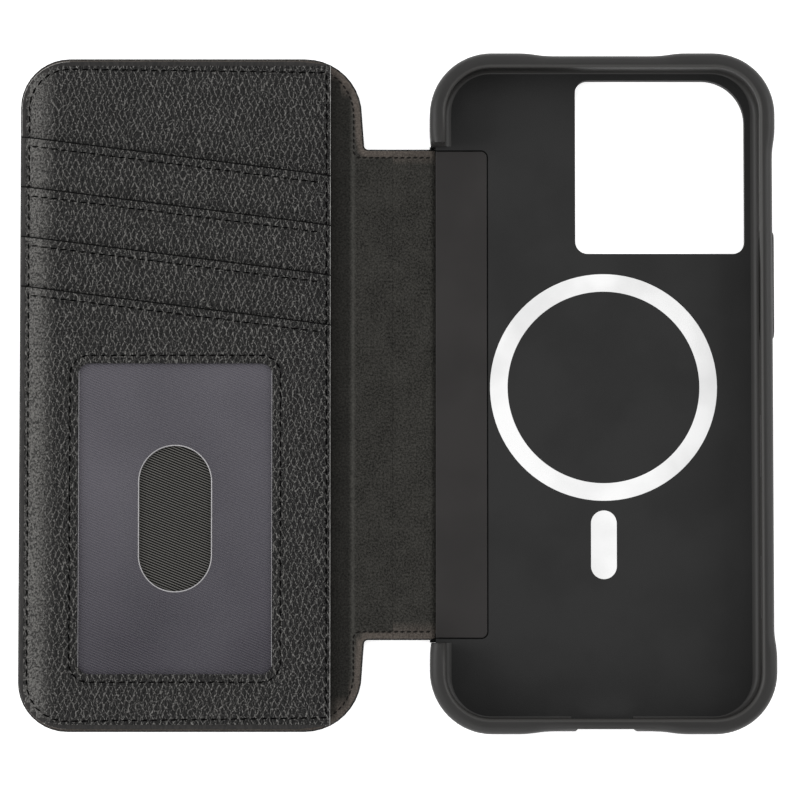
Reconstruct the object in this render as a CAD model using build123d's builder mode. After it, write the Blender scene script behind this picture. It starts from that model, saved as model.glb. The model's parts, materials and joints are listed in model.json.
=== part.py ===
"""Folio phone wallet case, lying open on its back: a tray that holds a phone, a folding spine and a card cover.

Row frame in millimetres: +Z up, the outer leather lies on Z 0. The spine runs along Y, the phone tray is on
the +X side and the card cover on the -X side. The origin is the centre of the open case at its underside.
"""

import os
from math import cos, radians, sin

from build123d import *

# ---- driving sizes of the phone tray
OPEN_WIDTH = 171.7  # cover's free edge to the tray's far edge, lying open
CASE_WIDTH, CASE_LENGTH, CASE_DEPTH = 78.2, 154.1, 11.8
CASE_CORNER = 14.0
PHONE_WIDTH, PHONE_LENGTH, PHONE_DEPTH = 71.7, 147.7, 7.95  # a 6.1 inch phone and its fit
PHONE_CORNER = 10.6
LIP_REACH = 0.35  # how far the soft lip hooks over the phone's glass
EDGE_BAND = 1.4  # bumper outside the plate and the back leather
PAD_PROUD = 0.65  # corner pads stand this far out of the sides
RIM_ROUND, LIP_ROUND, SOLE_ROUND = 2.2, 0.95, 0.9

# ---- layers of the tray's back, counted up from the table
LEATHER = 1.0
PLATE = 1.8
CLAMP_THICK, TAIL_THICK = 0.9, 0.4
LABEL_THICK = 0.2
BEZEL_WIDTH, BEZEL_SUNK = 1.6, 0.1

# ---- camera window, magnet ring and clamp strip
WINDOW_WIDTH, WINDOW_LENGTH = 38.7, 39.8
WINDOW_RIGHT, WINDOW_TOP = 6.25, 5.25  # wall left outside the window
WINDOW_SMALL_ROUND, WINDOW_BIG_ROUND = 2.8, 9.8
COIL_SHIFT_X, COIL_SHIFT_Y = 0.5, 1.5
RING_OUTER, RING_INNER = 25.85, 21.85
RING_MAGNETS, MAGNET_GAP, MAGNET_INSET = 18, 0.6, 0.4
MAGNET_THICK, GROOVE_INSET = 1.0, 0.25
BAR_WIDTH, BAR_LENGTH, BAR_DROP = 5.85, 15.6, 35.85
CLAMP_WIDTH, CLAMP_LENGTH = 11.7, 111.0
CLAMP_ROUND, CLAMP_GAP = 1.4, 0.25

# ---- openings and the button in the bumper's wall
WALL_GAP = 113.2  # length of tray wall left out for the spine
PORT_WIDTH, PORT_HEIGHT = 13.0, 6.2
PORT_RECESS_WIDTH, PORT_RECESS = 15.2, 0.55
SPEAKER_WIDTH, SPEAKER_HEIGHT, SPEAKER_OFFSET = 9.6, 2.0, 17.0
BUTTON_LENGTH, BUTTON_HEIGHT, BUTTON_Y = 24.4, 4.6, 24.4
BUTTON_PROUD, BUTTON_PLAY, BUTTON_TRAVEL, BUTTON_NUB = 0.45, 0.3, 0.5, 0.4
KEEPER_LENGTH, KEEPER_HEIGHT, KEEPER_THICK = 14.0, 3.0, 1.0
KEEPER_Y = (-12.0, -44.0)

# ---- spine and cover
LEATHER_GAP = 0.75  # from a fold's axis to the leather on each side of it
TRAY_FOLD_GAP, COVER_FOLD_GAP = 2.6, 2.0  # from a fold's axis to the board and lining
FOLD_SPAN = 18.1  # from fold to fold
SPINE_LENGTH = 112.0
COVER_WIDTH, COVER_LENGTH = 78.05, 153.6
COVER_FREE_ROUND, COVER_SPINE_ROUND = 11.2, 13.0
EAR_GAP = 0.6  # between the cover's ears and the spine's ends
BOARD, LINING = 0.8, 0.5
BOARD_INSET = 1.4
COVER_MAGNET_WIDTH = 4.0

# ---- wallet on the cover
WALLET_INSET = 0.35
WALLET_RIGHT = -14.95
WALLET_LENGTH = 152.2
WALLET_TAPER = (7.0, 0.8)
BACKING = 0.2
POCKET_LINING = 0.12
POCKET_DEPTH = 76.0
PANEL = 0.8
SLOT_ANGLE = 7.2
SLOT_PITCH = 11.37
FIRST_SLOT_Y = 54.35  # first slot's mouth, at the middle of the wallet
SLOT_HIDDEN = 7.0  # how far each panel runs on under the next
SHEET_GAP = 0.02
ID_WIDTH, ID_LENGTH, ID_ROUND = 44.3, 70.6, 2.7
ID_X, ID_Y = -50.2, -28.4
THUMB_WIDTH, THUMB_LENGTH = 16.6, 33.3
FILM, FILM_MARGIN, FILM_TOP_MARGIN = 0.26, 4.0, 0.9
ID_LINING = 0.2

# ---- places worked out from the sizes
case_right = OPEN_WIDTH / 2
case_left = case_right - CASE_WIDTH
case_x = (case_left + case_right) / 2
floor_z = LEATHER + PLATE
lip_z = floor_z + PHONE_DEPTH
phone_right = case_x + PHONE_WIDTH / 2
mid_phone_z = floor_z + PHONE_DEPTH / 2
plate_left = case_left + EDGE_BAND
plate_width, plate_length = CASE_WIDTH - 2 * EDGE_BAND, CASE_LENGTH - 2 * EDGE_BAND
plate_round = CASE_CORNER - EDGE_BAND
window_x = case_right - WINDOW_RIGHT - WINDOW_WIDTH / 2
window_y = CASE_LENGTH / 2 - WINDOW_TOP - WINDOW_LENGTH / 2
coil_x, coil_y = case_x + COIL_SHIFT_X, COIL_SHIFT_Y
side_x = case_right - PAD_PROUD
fold_z = LEATHER / 2
fold_case_x = plate_left - LEATHER_GAP
fold_cover_x = fold_case_x - FOLD_SPAN
cover_left = -OPEN_WIDTH / 2
cover_right = cover_left + COVER_WIDTH
lining_z = LEATHER + BOARD
lining_top = lining_z + LINING
wallet_left = cover_left + WALLET_INSET
wallet_x = (wallet_left + WALLET_RIGHT) / 2
panel_z = lining_top + BACKING + 3 * POCKET_LINING + SHEET_GAP * 2
slot_pitch_square = SLOT_PITCH * cos(radians(SLOT_ANGLE))
slot_slope = (PANEL + SHEET_GAP) / slot_pitch_square
slot_rise = PANEL + SHEET_GAP + SLOT_HIDDEN * slot_slope


def save(part, name):
    """Labels a finished piece and writes it as its own node."""
    part.label = name
    export_step(part, f"parts/{name}.step")
    print(f"{name}: {part.volume:.1f} mm3, {len(part.solids())} solid(s)")


# ---------------------------------------------------------------- outlines
def plate_outline(shrink=0.0):
    """The rounded rectangle inside the bumper that the plate and the back leather share."""
    with Locations((case_x, 0)):
        RectangleRounded(plate_width - 2 * shrink, plate_length - 2 * shrink, plate_round - shrink)


def phone_outline(shrink=0.0):
    """The phone's own outline, for the tray's cavity and the mouth inside the lip."""
    with Locations((case_x, 0)):
        RectangleRounded(PHONE_WIDTH - 2 * shrink, PHONE_LENGTH - 2 * shrink, PHONE_CORNER - shrink)


def camera_outline(grow=0.0):
    """The camera window, whose outer corner follows the case's corner."""
    with BuildSketch(mode=Mode.PRIVATE) as window:
        with Locations((window_x, window_y)):
            Rectangle(WINDOW_WIDTH + 2 * grow, WINDOW_LENGTH + 2 * grow)
        outward = Axis((0, 0, 0), (1, 1, 0))
        fillet(vertices().sort_by(outward)[:-1], WINDOW_SMALL_ROUND + grow)
        fillet(vertices().sort_by(outward)[-1], WINDOW_BIG_ROUND + grow)
    return window.sketch


def bumper_outline():
    """The bumper from above: straight sides that swell smoothly into a pad at each corner."""
    half_x, half_y = CASE_WIDTH / 2, CASE_LENGTH / 2
    pad_x, ease_x = half_x - CASE_CORNER - 5.5, 9.0
    pad_y, ease_y = half_y - CASE_CORNER - 2.5, 8.0
    with BuildLine(Plane((case_x, 0, 0))) as edge:
        Line((0, half_y - PAD_PROUD), (pad_x - ease_x, half_y - PAD_PROUD))
        Bezier(
            (pad_x - ease_x, half_y - PAD_PROUD),
            (pad_x - ease_x / 2, half_y - PAD_PROUD),
            (pad_x - ease_x / 2, half_y),
            (pad_x, half_y),
        )
        Line((pad_x, half_y), (half_x - CASE_CORNER, half_y))
        RadiusArc((half_x - CASE_CORNER, half_y), (half_x, half_y - CASE_CORNER), CASE_CORNER)
        Line((half_x, half_y - CASE_CORNER), (half_x, pad_y))
        Bezier(
            (half_x, pad_y),
            (half_x, pad_y - ease_y / 2),
            (half_x - PAD_PROUD, pad_y - ease_y / 2),
            (half_x - PAD_PROUD, pad_y - ease_y),
        )
        Line((half_x - PAD_PROUD, pad_y - ease_y), (half_x - PAD_PROUD, 0))
        mirror(about=Plane.XZ)
        mirror(about=Plane((case_x, 0, 0), x_dir=(0, 1, 0), z_dir=(1, 0, 0)))
    make_face(edge.edges())


def cover_outline(fold_gap, inset=0.0):
    """The cover's sheet: one rounded rectangle, open along the spine, with an ear past each end of it."""
    left, right = cover_left + inset, cover_right - inset
    fold_edge = fold_cover_x - fold_gap
    with Locations(((left + right) / 2, 0)):
        Rectangle(right - left, COVER_LENGTH - 2 * inset)
    fillet(vertices().group_by(Axis.X)[0], COVER_FREE_ROUND - inset)
    fillet(vertices().group_by(Axis.X)[-1], COVER_SPINE_ROUND - inset)
    with Locations((fold_edge, 0)):
        Rectangle(
            2 * FOLD_SPAN,
            SPINE_LENGTH + 2 * EAR_GAP + 2 * inset,
            align=(Align.MIN, Align.CENTER),
            mode=Mode.SUBTRACT,
        )


def wallet_outline(shrink=0.0):
    """The card wallet: round at the cover's free edge, cut straight beside the spine."""
    left, right, half = wallet_left + shrink, WALLET_RIGHT - shrink, WALLET_LENGTH / 2 - shrink
    run, drop = WALLET_TAPER
    with BuildLine() as edge:
        Polyline(
            (left, -half),
            (right - run, -half),
            (right, -half + drop),
            (right, half - drop),
            (right - run, half),
            (left, half),
            close=True,
        )
    make_face(edge.edges())
    fillet(vertices().group_by(Axis.X)[0], COVER_FREE_ROUND - WALLET_INSET - shrink)


# ---------------------------------------------------------------- phone tray
def back_shell():
    """Rigid plate behind the phone, with pockets for the magnets, their labels and the clamp strip."""
    with BuildPart() as shell:
        with BuildSketch(Plane.XY.offset(LEATHER)):
            plate_outline()
            add(camera_outline(), mode=Mode.SUBTRACT)
        extrude(amount=PLATE)
        with BuildSketch(Plane.XY.offset(LEATHER)):
            with Locations((coil_x, coil_y)):
                Circle(RING_OUTER - GROOVE_INSET)
                Circle(RING_INNER + GROOVE_INSET, mode=Mode.SUBTRACT)
            with Locations((coil_x, coil_y - BAR_DROP)):
                SlotOverall(BAR_LENGTH - 2 * GROOVE_INSET, BAR_WIDTH - 2 * GROOVE_INSET, rotation=90)
        extrude(amount=MAGNET_THICK + 2 * SHEET_GAP, mode=Mode.SUBTRACT)
        with BuildSketch(Plane.XY.offset(floor_z - LABEL_THICK)):
            label_shapes()
        extrude(amount=LABEL_THICK, mode=Mode.SUBTRACT)
        with BuildSketch(Plane.XY.offset(floor_z - CLAMP_THICK - TAIL_THICK)):
            clamp_shape(CLAMP_GAP)
        extrude(amount=CLAMP_THICK + TAIL_THICK, mode=Mode.SUBTRACT)
    return shell.part


def label_shapes(ring=True, bar=True):
    """The two flat white marks over the magnets."""
    if ring:
        with Locations((coil_x, coil_y)):
            Circle(RING_OUTER)
            Circle(RING_INNER, mode=Mode.SUBTRACT)
    if bar:
        with Locations((coil_x, coil_y - BAR_DROP)):
            SlotOverall(BAR_LENGTH, BAR_WIDTH, rotation=90)


def clamp_shape(grow=0.0):
    """The clamp strip from above, round at its inner corners and square beside the spine."""
    with Locations((plate_left, 0)):
        Rectangle(CLAMP_WIDTH + grow, CLAMP_LENGTH + 2 * grow, align=(Align.MIN, Align.CENTER))
    fillet(vertices().group_by(Axis.X)[-1], CLAMP_ROUND + grow)


def bumper_frame():
    """Soft frame round the phone: lip, corner pads, port, speaker slots, and a gap where the spine joins."""
    with BuildPart() as frame:
        with BuildSketch(Plane.XY.offset(BEZEL_SUNK)):
            bumper_outline()
        extrude(amount=CASE_DEPTH - BEZEL_SUNK)
        fillet(faces().sort_by(Axis.Z)[-1].edges(), RIM_ROUND)
        fillet(faces().sort_by(Axis.Z)[0].edges(), SOLE_ROUND)
        with BuildSketch(Plane.XY):
            plate_outline()
        extrude(amount=floor_z, mode=Mode.SUBTRACT)
        with BuildSketch(Plane.XY.offset(floor_z)):
            phone_outline()
        extrude(amount=PHONE_DEPTH, mode=Mode.SUBTRACT)
        with BuildSketch(Plane.XY.offset(lip_z)):
            phone_outline(LIP_REACH)
        extrude(amount=CASE_DEPTH - lip_z, mode=Mode.SUBTRACT)
        fillet(faces().sort_by(Axis.Z)[-1].inner_wires()[0].edges(), LIP_ROUND)
        spine_gate()
        port_openings()
        with BuildSketch(Plane.YZ.offset(phone_right - 1)):
            with Locations((BUTTON_Y, mid_phone_z)):
                SlotOverall(BUTTON_LENGTH + 2 * BUTTON_PLAY, BUTTON_HEIGHT + 2 * BUTTON_PLAY)
        extrude(amount=CASE_CORNER, mode=Mode.SUBTRACT)
        with Locations(*[(phone_right, y, lip_z - KEEPER_HEIGHT) for y in KEEPER_Y]):
            Box(
                KEEPER_THICK,
                KEEPER_LENGTH,
                KEEPER_HEIGHT,
                align=(Align.MIN, Align.CENTER, Align.CENTER),
                mode=Mode.SUBTRACT,
            )
    return frame.part


def spine_gate():
    """Takes the frame's long wall away beside the spine, from table to lip."""
    with Locations((case_left - PAD_PROUD, 0, 0)):
        Box(
            (CASE_WIDTH - PHONE_WIDTH) / 2 + PAD_PROUD + CASE_CORNER / 2,
            WALL_GAP,
            3 * CASE_DEPTH,
            align=(Align.MIN, Align.CENTER, Align.CENTER),
            mode=Mode.SUBTRACT,
        )


def port_openings():
    """Cuts the charging port, its outer recess and the two speaker slots through the lower wall."""
    end_y = CASE_LENGTH / 2
    with BuildSketch(Plane.XY) as recess:
        with Locations((coil_x, -end_y)):
            Trapezoid(PORT_RECESS_WIDTH, PAD_PROUD + PORT_RECESS, 45, align=(Align.CENTER, Align.MIN))
    extrude(recess.sketch, amount=CASE_DEPTH, mode=Mode.SUBTRACT)
    with BuildSketch(Plane.XZ.offset(PHONE_LENGTH / 2 - 1)) as slots:
        with Locations((coil_x, mid_phone_z)):
            SlotOverall(PORT_WIDTH, PORT_HEIGHT)
        with Locations(
            (coil_x - SPEAKER_OFFSET, mid_phone_z),
            (coil_x + SPEAKER_OFFSET, mid_phone_z),
        ):
            SlotOverall(SPEAKER_WIDTH, SPEAKER_HEIGHT)
    extrude(slots.sketch, amount=CASE_CORNER, mode=Mode.SUBTRACT)


def side_button():
    """Power button cover: a rounded cap through the wall and a nub that reaches for the phone's own key."""
    inner_x = phone_right + BUTTON_TRAVEL + BUTTON_NUB
    with BuildPart() as button:
        with BuildSketch(Plane.YZ.offset(inner_x)):
            with Locations((BUTTON_Y, mid_phone_z)):
                SlotOverall(BUTTON_LENGTH, BUTTON_HEIGHT)
        extrude(amount=side_x + BUTTON_PROUD - inner_x)
        fillet(faces().sort_by(Axis.X)[-1].edges(), BUTTON_PROUD)
        with Locations((inner_x, BUTTON_Y, mid_phone_z)):
            Box(2 * BUTTON_NUB, BUTTON_LENGTH * 0.6, BUTTON_HEIGHT * 0.45)
    return button.part


def frame_keepers():
    """Steel strips let into the far wall, which hold the cover's magnets when the case is shut."""
    with BuildPart() as keepers:
        with Locations(*[(phone_right, y, lip_z - KEEPER_HEIGHT) for y in KEEPER_Y]):
            Box(
                KEEPER_THICK,
                KEEPER_LENGTH,
                KEEPER_HEIGHT,
                align=(Align.MIN, Align.CENTER, Align.CENTER),
            )
    return keepers.part


def back_leather():
    """Outer leather glued behind the plate, cut out round the camera."""
    with BuildPart() as leather:
        with BuildSketch(Plane.XY):
            plate_outline()
            add(camera_outline(BEZEL_WIDTH), mode=Mode.SUBTRACT)
        extrude(amount=LEATHER)
    return leather.part


def camera_bezel():
    """Trim ring that hides the leather's cut edge round the camera window."""
    with BuildPart() as bezel:
        with BuildSketch(Plane.XY.offset(BEZEL_SUNK)):
            add(camera_outline(BEZEL_WIDTH))
            add(camera_outline(), mode=Mode.SUBTRACT)
        extrude(amount=LEATHER - BEZEL_SUNK)
    return bezel.part


def clamp_strip():
    """Smooth strip that clamps the spine's lining to the plate, flush with the tray's floor."""
    with BuildPart() as strip:
        with BuildSketch(Plane.XY.offset(floor_z - CLAMP_THICK)):
            clamp_shape()
        extrude(amount=CLAMP_THICK)
        fillet(faces().sort_by(Axis.Z)[-1].edges(), 0.25)
    return strip.part


def lining_tail():
    """The end of the spine's lining, glued into the plate's pocket under the clamp strip."""
    with BuildPart() as tail:
        with Locations((plate_left, 0, floor_z - CLAMP_THICK - TAIL_THICK)):
            Box(
                CLAMP_WIDTH * 0.75,
                CLAMP_LENGTH - 2,
                TAIL_THICK,
                align=(Align.MIN, Align.CENTER, Align.MIN),
            )
    return tail.part


def magnet_label(ring):
    """One of the white marks laid into the floor: the ring, or the bar below it."""
    with BuildPart() as label:
        with BuildSketch(Plane.XY.offset(floor_z - LABEL_THICK)):
            label_shapes(ring=ring, bar=not ring)
        extrude(amount=LABEL_THICK)
    return label.part


def ring_magnets():
    """Arc magnets set in a circle in the plate's groove."""
    with BuildPart() as magnets:
        with BuildSketch(Plane((coil_x, coil_y, LEATHER + SHEET_GAP))):
            Circle(RING_OUTER - MAGNET_INSET)
            Circle(RING_INNER + MAGNET_INSET, mode=Mode.SUBTRACT)
            with PolarLocations((RING_OUTER + RING_INNER) / 2, RING_MAGNETS):
                Rectangle(RING_OUTER - RING_INNER, MAGNET_GAP, mode=Mode.SUBTRACT)
        extrude(amount=MAGNET_THICK)
    return magnets.part


def bar_magnets():
    """Pair of small magnets under the bar mark, which stop a charger from turning."""
    spacing = BAR_LENGTH * 0.4
    with BuildPart() as magnets:
        with Locations((coil_x, coil_y - BAR_DROP, LEATHER + SHEET_GAP)):
            with GridLocations(1, spacing, 1, 2):
                Box(
                    BAR_WIDTH * 0.7,
                    spacing * 0.88,
                    MAGNET_THICK,
                    align=(Align.CENTER, Align.CENTER, Align.MIN),
                )
    return magnets.part


# ---------------------------------------------------------------- spine
def spine_sheet(bottom, thickness, cover_gap, tray_gap, inset=0.0):
    """One flat layer of the spine, from the gap at the cover's fold to the gap at the tray's."""
    left, right = fold_cover_x + cover_gap, fold_case_x - tray_gap
    with BuildPart() as sheet:
        with Locations(((left + right) / 2, 0, bottom)):
            Box(
                right - left,
                SPINE_LENGTH - 2 * inset,
                thickness,
                align=(Align.CENTER, Align.CENTER, Align.MIN),
            )
    return sheet.part


# ---------------------------------------------------------------- cover
def cover_sheet(bottom, thickness, fold_gap):
    """One full layer of the cover: its leather or its lining."""
    with BuildPart() as sheet:
        with BuildSketch(Plane.XY.offset(bottom)):
            cover_outline(fold_gap)
        extrude(amount=thickness)
    return sheet.part


def magnet_places():
    """Middle of each cover magnet, facing a keeper when the cover is shut."""
    x = cover_left + BOARD_INSET + COVER_MAGNET_WIDTH / 2
    return [(x, y) for y in KEEPER_Y]


def cover_board():
    """Stiff board between the cover's leather and lining, slotted for the magnets."""
    with BuildPart() as board:
        with BuildSketch(Plane.XY.offset(LEATHER)):
            cover_outline(COVER_FOLD_GAP, BOARD_INSET)
            with Locations(*magnet_places()):
                Rectangle(COVER_MAGNET_WIDTH, KEEPER_LENGTH, mode=Mode.SUBTRACT)
        extrude(amount=BOARD)
    return board.part


def cover_magnets():
    """Flat bar magnets in the board near the cover's free edge."""
    with BuildPart() as magnets:
        with BuildSketch(Plane.XY.offset(LEATHER)):
            with Locations(*magnet_places()):
                Rectangle(COVER_MAGNET_WIDTH, KEEPER_LENGTH)
        extrude(amount=BOARD)
    return magnets.part


# ---------------------------------------------------------------- wallet
def slot_y(number):
    """Height up the wallet of a slot's mouth, at its middle. Slot 4 is the top of the window panel."""
    return FIRST_SLOT_Y - (number - 1) * SLOT_PITCH


def slanted_sheet(mouth_y, profile, shrink=0.0, window=None):
    """A sheet that runs square to the slanted slots. profile holds (distance up from the mouth, z) corners."""
    up_slot = (sin(radians(SLOT_ANGLE)), cos(radians(SLOT_ANGLE)), 0)
    along_slot = (cos(radians(SLOT_ANGLE)), -sin(radians(SLOT_ANGLE)), 0)
    with BuildPart() as sheet:
        with BuildSketch(Plane((wallet_x, mouth_y, 0), x_dir=up_slot, z_dir=along_slot)):
            with BuildLine():
                Polyline(*profile, close=True)
            make_face()
        extrude(amount=COVER_WIDTH, both=True)
        with BuildSketch(Plane.XY):
            wallet_outline(shrink)
        extrude(amount=CASE_DEPTH, mode=Mode.INTERSECT)
        if window:
            with BuildSketch(Plane.XY):
                with Locations((ID_X, ID_Y)):
                    RectangleRounded(*window)
            extrude(amount=CASE_DEPTH, mode=Mode.SUBTRACT)
    return sheet.part


def top_panel():
    """Leather above the first slot, which the first card slides over."""
    reach = WALLET_LENGTH / 2
    return slanted_sheet(
        slot_y(1),
        [
            (reach, panel_z),
            (-SLOT_HIDDEN, panel_z),
            (-SLOT_HIDDEN, panel_z + PANEL),
            (reach, panel_z + PANEL),
        ],
    )


def slot_panel(number):
    """Leather front of one card slot, leaning on the panel behind it like a roof tile."""
    foot = -slot_pitch_square - SLOT_HIDDEN
    return slanted_sheet(
        slot_y(number),
        [
            (0, panel_z + slot_rise),
            (foot, panel_z),
            (foot, panel_z + PANEL),
            (0, panel_z + slot_rise + PANEL),
        ],
    )


def slot_lining(number):
    """Thin cloth that carries on below a slot's leather and holds the card's lower end."""
    bottom = lining_top + BACKING + (number - 1) * POCKET_LINING
    return slanted_sheet(
        slot_y(number),
        [
            (-slot_pitch_square, bottom),
            (-POCKET_DEPTH, bottom),
            (-POCKET_DEPTH, bottom + POCKET_LINING),
            (-slot_pitch_square, bottom + POCKET_LINING),
        ],
        shrink=0.6,
    )


def window_panel():
    """Lowest leather panel, with the identity card's window. Its mouth lifts over the third slot."""
    foot_z = panel_z + PANEL + SHEET_GAP
    reach = WALLET_LENGTH
    return slanted_sheet(
        slot_y(4),
        [
            (0, panel_z + slot_rise),
            (-SLOT_HIDDEN, foot_z),
            (-reach, foot_z),
            (-reach, foot_z + PANEL),
            (-SLOT_HIDDEN, foot_z + PANEL),
            (0, panel_z + slot_rise + PANEL),
        ],
        window=(ID_WIDTH, ID_LENGTH, ID_ROUND),
    )


def window_film():
    """Clear plastic behind the window, with a thumb hole to push the card out."""
    top, bottom = ID_Y + ID_LENGTH / 2 + FILM_TOP_MARGIN, ID_Y - ID_LENGTH / 2 - FILM_MARGIN
    with BuildPart() as film:
        with BuildSketch(Plane.XY.offset(panel_z + PANEL - FILM)):
            with Locations((ID_X, (top + bottom) / 2)):
                RectangleRounded(ID_WIDTH + 2 * FILM_MARGIN, top - bottom, ID_ROUND)
            with Locations((ID_X, ID_Y)):
                SlotOverall(THUMB_LENGTH, THUMB_WIDTH, rotation=90, mode=Mode.SUBTRACT)
        extrude(amount=FILM)
    return film.part


def id_pocket_lining():
    """Twill cloth behind the identity card."""
    top, bottom = ID_Y + ID_LENGTH / 2 + FILM_TOP_MARGIN, -WALLET_LENGTH / 2 + 2.5
    with BuildPart() as lining:
        with BuildSketch(Plane.XY.offset(panel_z)):
            with Locations((wallet_x, (top + bottom) / 2)):
                Rectangle(WALLET_RIGHT - wallet_left - 5, top - bottom)
            fillet(vertices().group_by(Axis.Y)[0].sort_by(Axis.X)[0], COVER_FREE_ROUND - 3)
        extrude(amount=ID_LINING)
    return lining.part


def wallet_backing():
    """Cloth that closes the back of the whole wallet, against the cover's lining."""
    with BuildPart() as backing:
        with BuildSketch(Plane.XY.offset(lining_top)):
            wallet_outline(0.3)
        extrude(amount=BACKING)
    return backing.part


# ---------------------------------------------------------------- build every piece
os.makedirs("parts", exist_ok=True)

save(back_shell(), "back_shell")
save(bumper_frame(), "bumper_frame")
save(side_button(), "side_button")
save(frame_keepers(), "frame_keepers")
save(back_leather(), "back_leather")
save(camera_bezel(), "camera_bezel")
save(clamp_strip(), "clamp_strip")
save(lining_tail(), "lining_tail")
save(magnet_label(ring=True), "ring_label")
save(magnet_label(ring=False), "bar_label")
save(ring_magnets(), "ring_magnets")
save(bar_magnets(), "bar_magnets")

save(spine_sheet(0, LEATHER, LEATHER_GAP, LEATHER_GAP), "spine_leather")
save(spine_sheet(LEATHER, BOARD, COVER_FOLD_GAP, TRAY_FOLD_GAP, BOARD_INSET), "spine_board")
save(spine_sheet(lining_z, LINING, COVER_FOLD_GAP, TRAY_FOLD_GAP), "spine_lining")

save(cover_sheet(0, LEATHER, LEATHER_GAP), "cover_leather")
save(cover_sheet(lining_z, LINING, COVER_FOLD_GAP), "cover_lining")
save(cover_board(), "cover_board")
save(cover_magnets(), "cover_magnets")

save(wallet_backing(), "wallet_backing")
save(top_panel(), "top_panel")
for number in (1, 2, 3):
    save(slot_panel(number), f"slot_panel_{number}")
    save(slot_lining(number), f"slot_lining_{number}")
save(window_panel(), "window_panel")
save(window_film(), "window_film")
save(id_pocket_lining(), "id_pocket_lining")

print(f"folds at X {fold_case_x:.2f} and {fold_cover_x:.2f}, Z {fold_z:.2f}")
print(f"window panel's mouth reaches Z {panel_z + slot_rise + PANEL:.2f}")
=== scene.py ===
# %% [markdown]
# # A phone wallet case in leather, microfibre and soft plastic
# The real case is a soft tray that holds a phone, joined by a folding spine to a leather cover with card
# slots. Its rigid parts and its two folds come from a CAD model, which this script loads as a fixed
# frame. Blender adds what CAD leaves plain: soft leather with turned edges, lining, stitches and every
# finish.

import json
from math import cos, pi, radians, sin, tan

import bmesh
import bpy
import numpy as np
from mathutils import Matrix, Vector, noise

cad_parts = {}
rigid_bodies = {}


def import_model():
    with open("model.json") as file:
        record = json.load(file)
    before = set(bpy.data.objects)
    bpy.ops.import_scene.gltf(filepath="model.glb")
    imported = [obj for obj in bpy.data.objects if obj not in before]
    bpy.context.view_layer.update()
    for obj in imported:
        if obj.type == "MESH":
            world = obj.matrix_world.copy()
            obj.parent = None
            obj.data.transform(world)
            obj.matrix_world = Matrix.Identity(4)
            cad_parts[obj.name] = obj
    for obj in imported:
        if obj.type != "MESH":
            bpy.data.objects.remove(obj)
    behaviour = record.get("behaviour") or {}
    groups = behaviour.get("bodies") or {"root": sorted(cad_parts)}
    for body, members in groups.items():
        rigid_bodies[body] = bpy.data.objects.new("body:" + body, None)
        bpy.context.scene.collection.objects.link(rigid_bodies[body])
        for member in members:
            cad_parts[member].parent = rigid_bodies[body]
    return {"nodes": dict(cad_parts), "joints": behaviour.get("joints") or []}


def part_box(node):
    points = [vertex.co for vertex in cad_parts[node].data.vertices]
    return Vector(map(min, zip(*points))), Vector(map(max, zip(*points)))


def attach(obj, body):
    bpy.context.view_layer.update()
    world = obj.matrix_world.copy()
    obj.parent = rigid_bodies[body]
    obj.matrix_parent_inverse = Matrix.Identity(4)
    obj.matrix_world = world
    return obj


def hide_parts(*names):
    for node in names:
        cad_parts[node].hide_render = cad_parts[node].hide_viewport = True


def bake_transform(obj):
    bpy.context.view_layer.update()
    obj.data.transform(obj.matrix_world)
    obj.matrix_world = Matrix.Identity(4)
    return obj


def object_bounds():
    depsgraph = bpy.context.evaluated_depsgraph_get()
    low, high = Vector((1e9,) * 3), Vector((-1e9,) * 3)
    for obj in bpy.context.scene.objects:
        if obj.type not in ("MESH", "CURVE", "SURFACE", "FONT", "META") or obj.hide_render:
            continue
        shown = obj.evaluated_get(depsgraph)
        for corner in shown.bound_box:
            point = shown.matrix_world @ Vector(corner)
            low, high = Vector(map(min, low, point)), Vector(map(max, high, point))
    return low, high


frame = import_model()
cad_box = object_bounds()
MM = 0.001
print("CAD box", [round(v / MM, 1) for corner in cad_box for v in corner], "mm")

# %% [markdown]
# Every place below is read from the frame's own parts, so the leather always lands where the CAD is. The
# two folds are the hinge axes of the model. The sheets of leather and lining are cut in the middle of the
# spine, because a sheet can bend over only one hinge, and the cut never shows: both halves end there
# alike.

# %% Places from the frame
fold = {joint["name"]: Vector(joint["pos_m"]) for joint in frame["joints"] if "pos_m" in joint}
tray_fold, cover_fold = fold["spine_fold"], fold["cover_fold"]
spine_middle = (tray_fold.x + cover_fold.x) / 2
cover_low, cover_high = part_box("cover_leather")
spine_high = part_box("spine_leather")[1]
back_low, back_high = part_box("back_leather")
lining_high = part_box("cover_lining")[1]
strip_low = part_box("clamp_strip")[0]
tail_low, tail_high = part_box("lining_tail")
film_low, film_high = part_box("window_film")
top_low, top_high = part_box("top_panel")
window_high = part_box("window_panel")[1]
bezel_low, bezel_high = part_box("camera_bezel")
print("folds at X", round(tray_fold.x / MM, 2), "and", round(cover_fold.x / MM, 2), "mm")

# %% [markdown]
# The camera looks down on the open case from far off with a long lens, a little from the lower end, as
# for a catalogue. Two wide soft lights stand low at the sides, so that the slopes of the leather's grain
# catch light and its flat tops stay dark. Two weaker ones stand beyond the ends, and an even white world
# fills the rest.

# %% Camera, lights and floor
CAMERA_AWAY = 0.86
CAMERA_TILT = radians(3.0)
FRAME_WIDTH = 0.1828
AIM = Vector((0.0009, -0.00125, 0.0))
SENSOR = 36.0

camera = bpy.data.objects.new("camera", bpy.data.cameras.new("camera"))
bpy.context.collection.objects.link(camera)
camera.location = AIM + CAMERA_AWAY * Vector((0, -sin(CAMERA_TILT), cos(CAMERA_TILT)))
camera.rotation_euler = (CAMERA_TILT, 0, 0)
camera.data.sensor_width = SENSOR
camera.data.lens = SENSOR * CAMERA_AWAY / FRAME_WIDTH
camera.data.clip_start = 0.01
bpy.context.scene.camera = camera
bpy.context.scene.view_settings.view_transform = "Standard"


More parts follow.
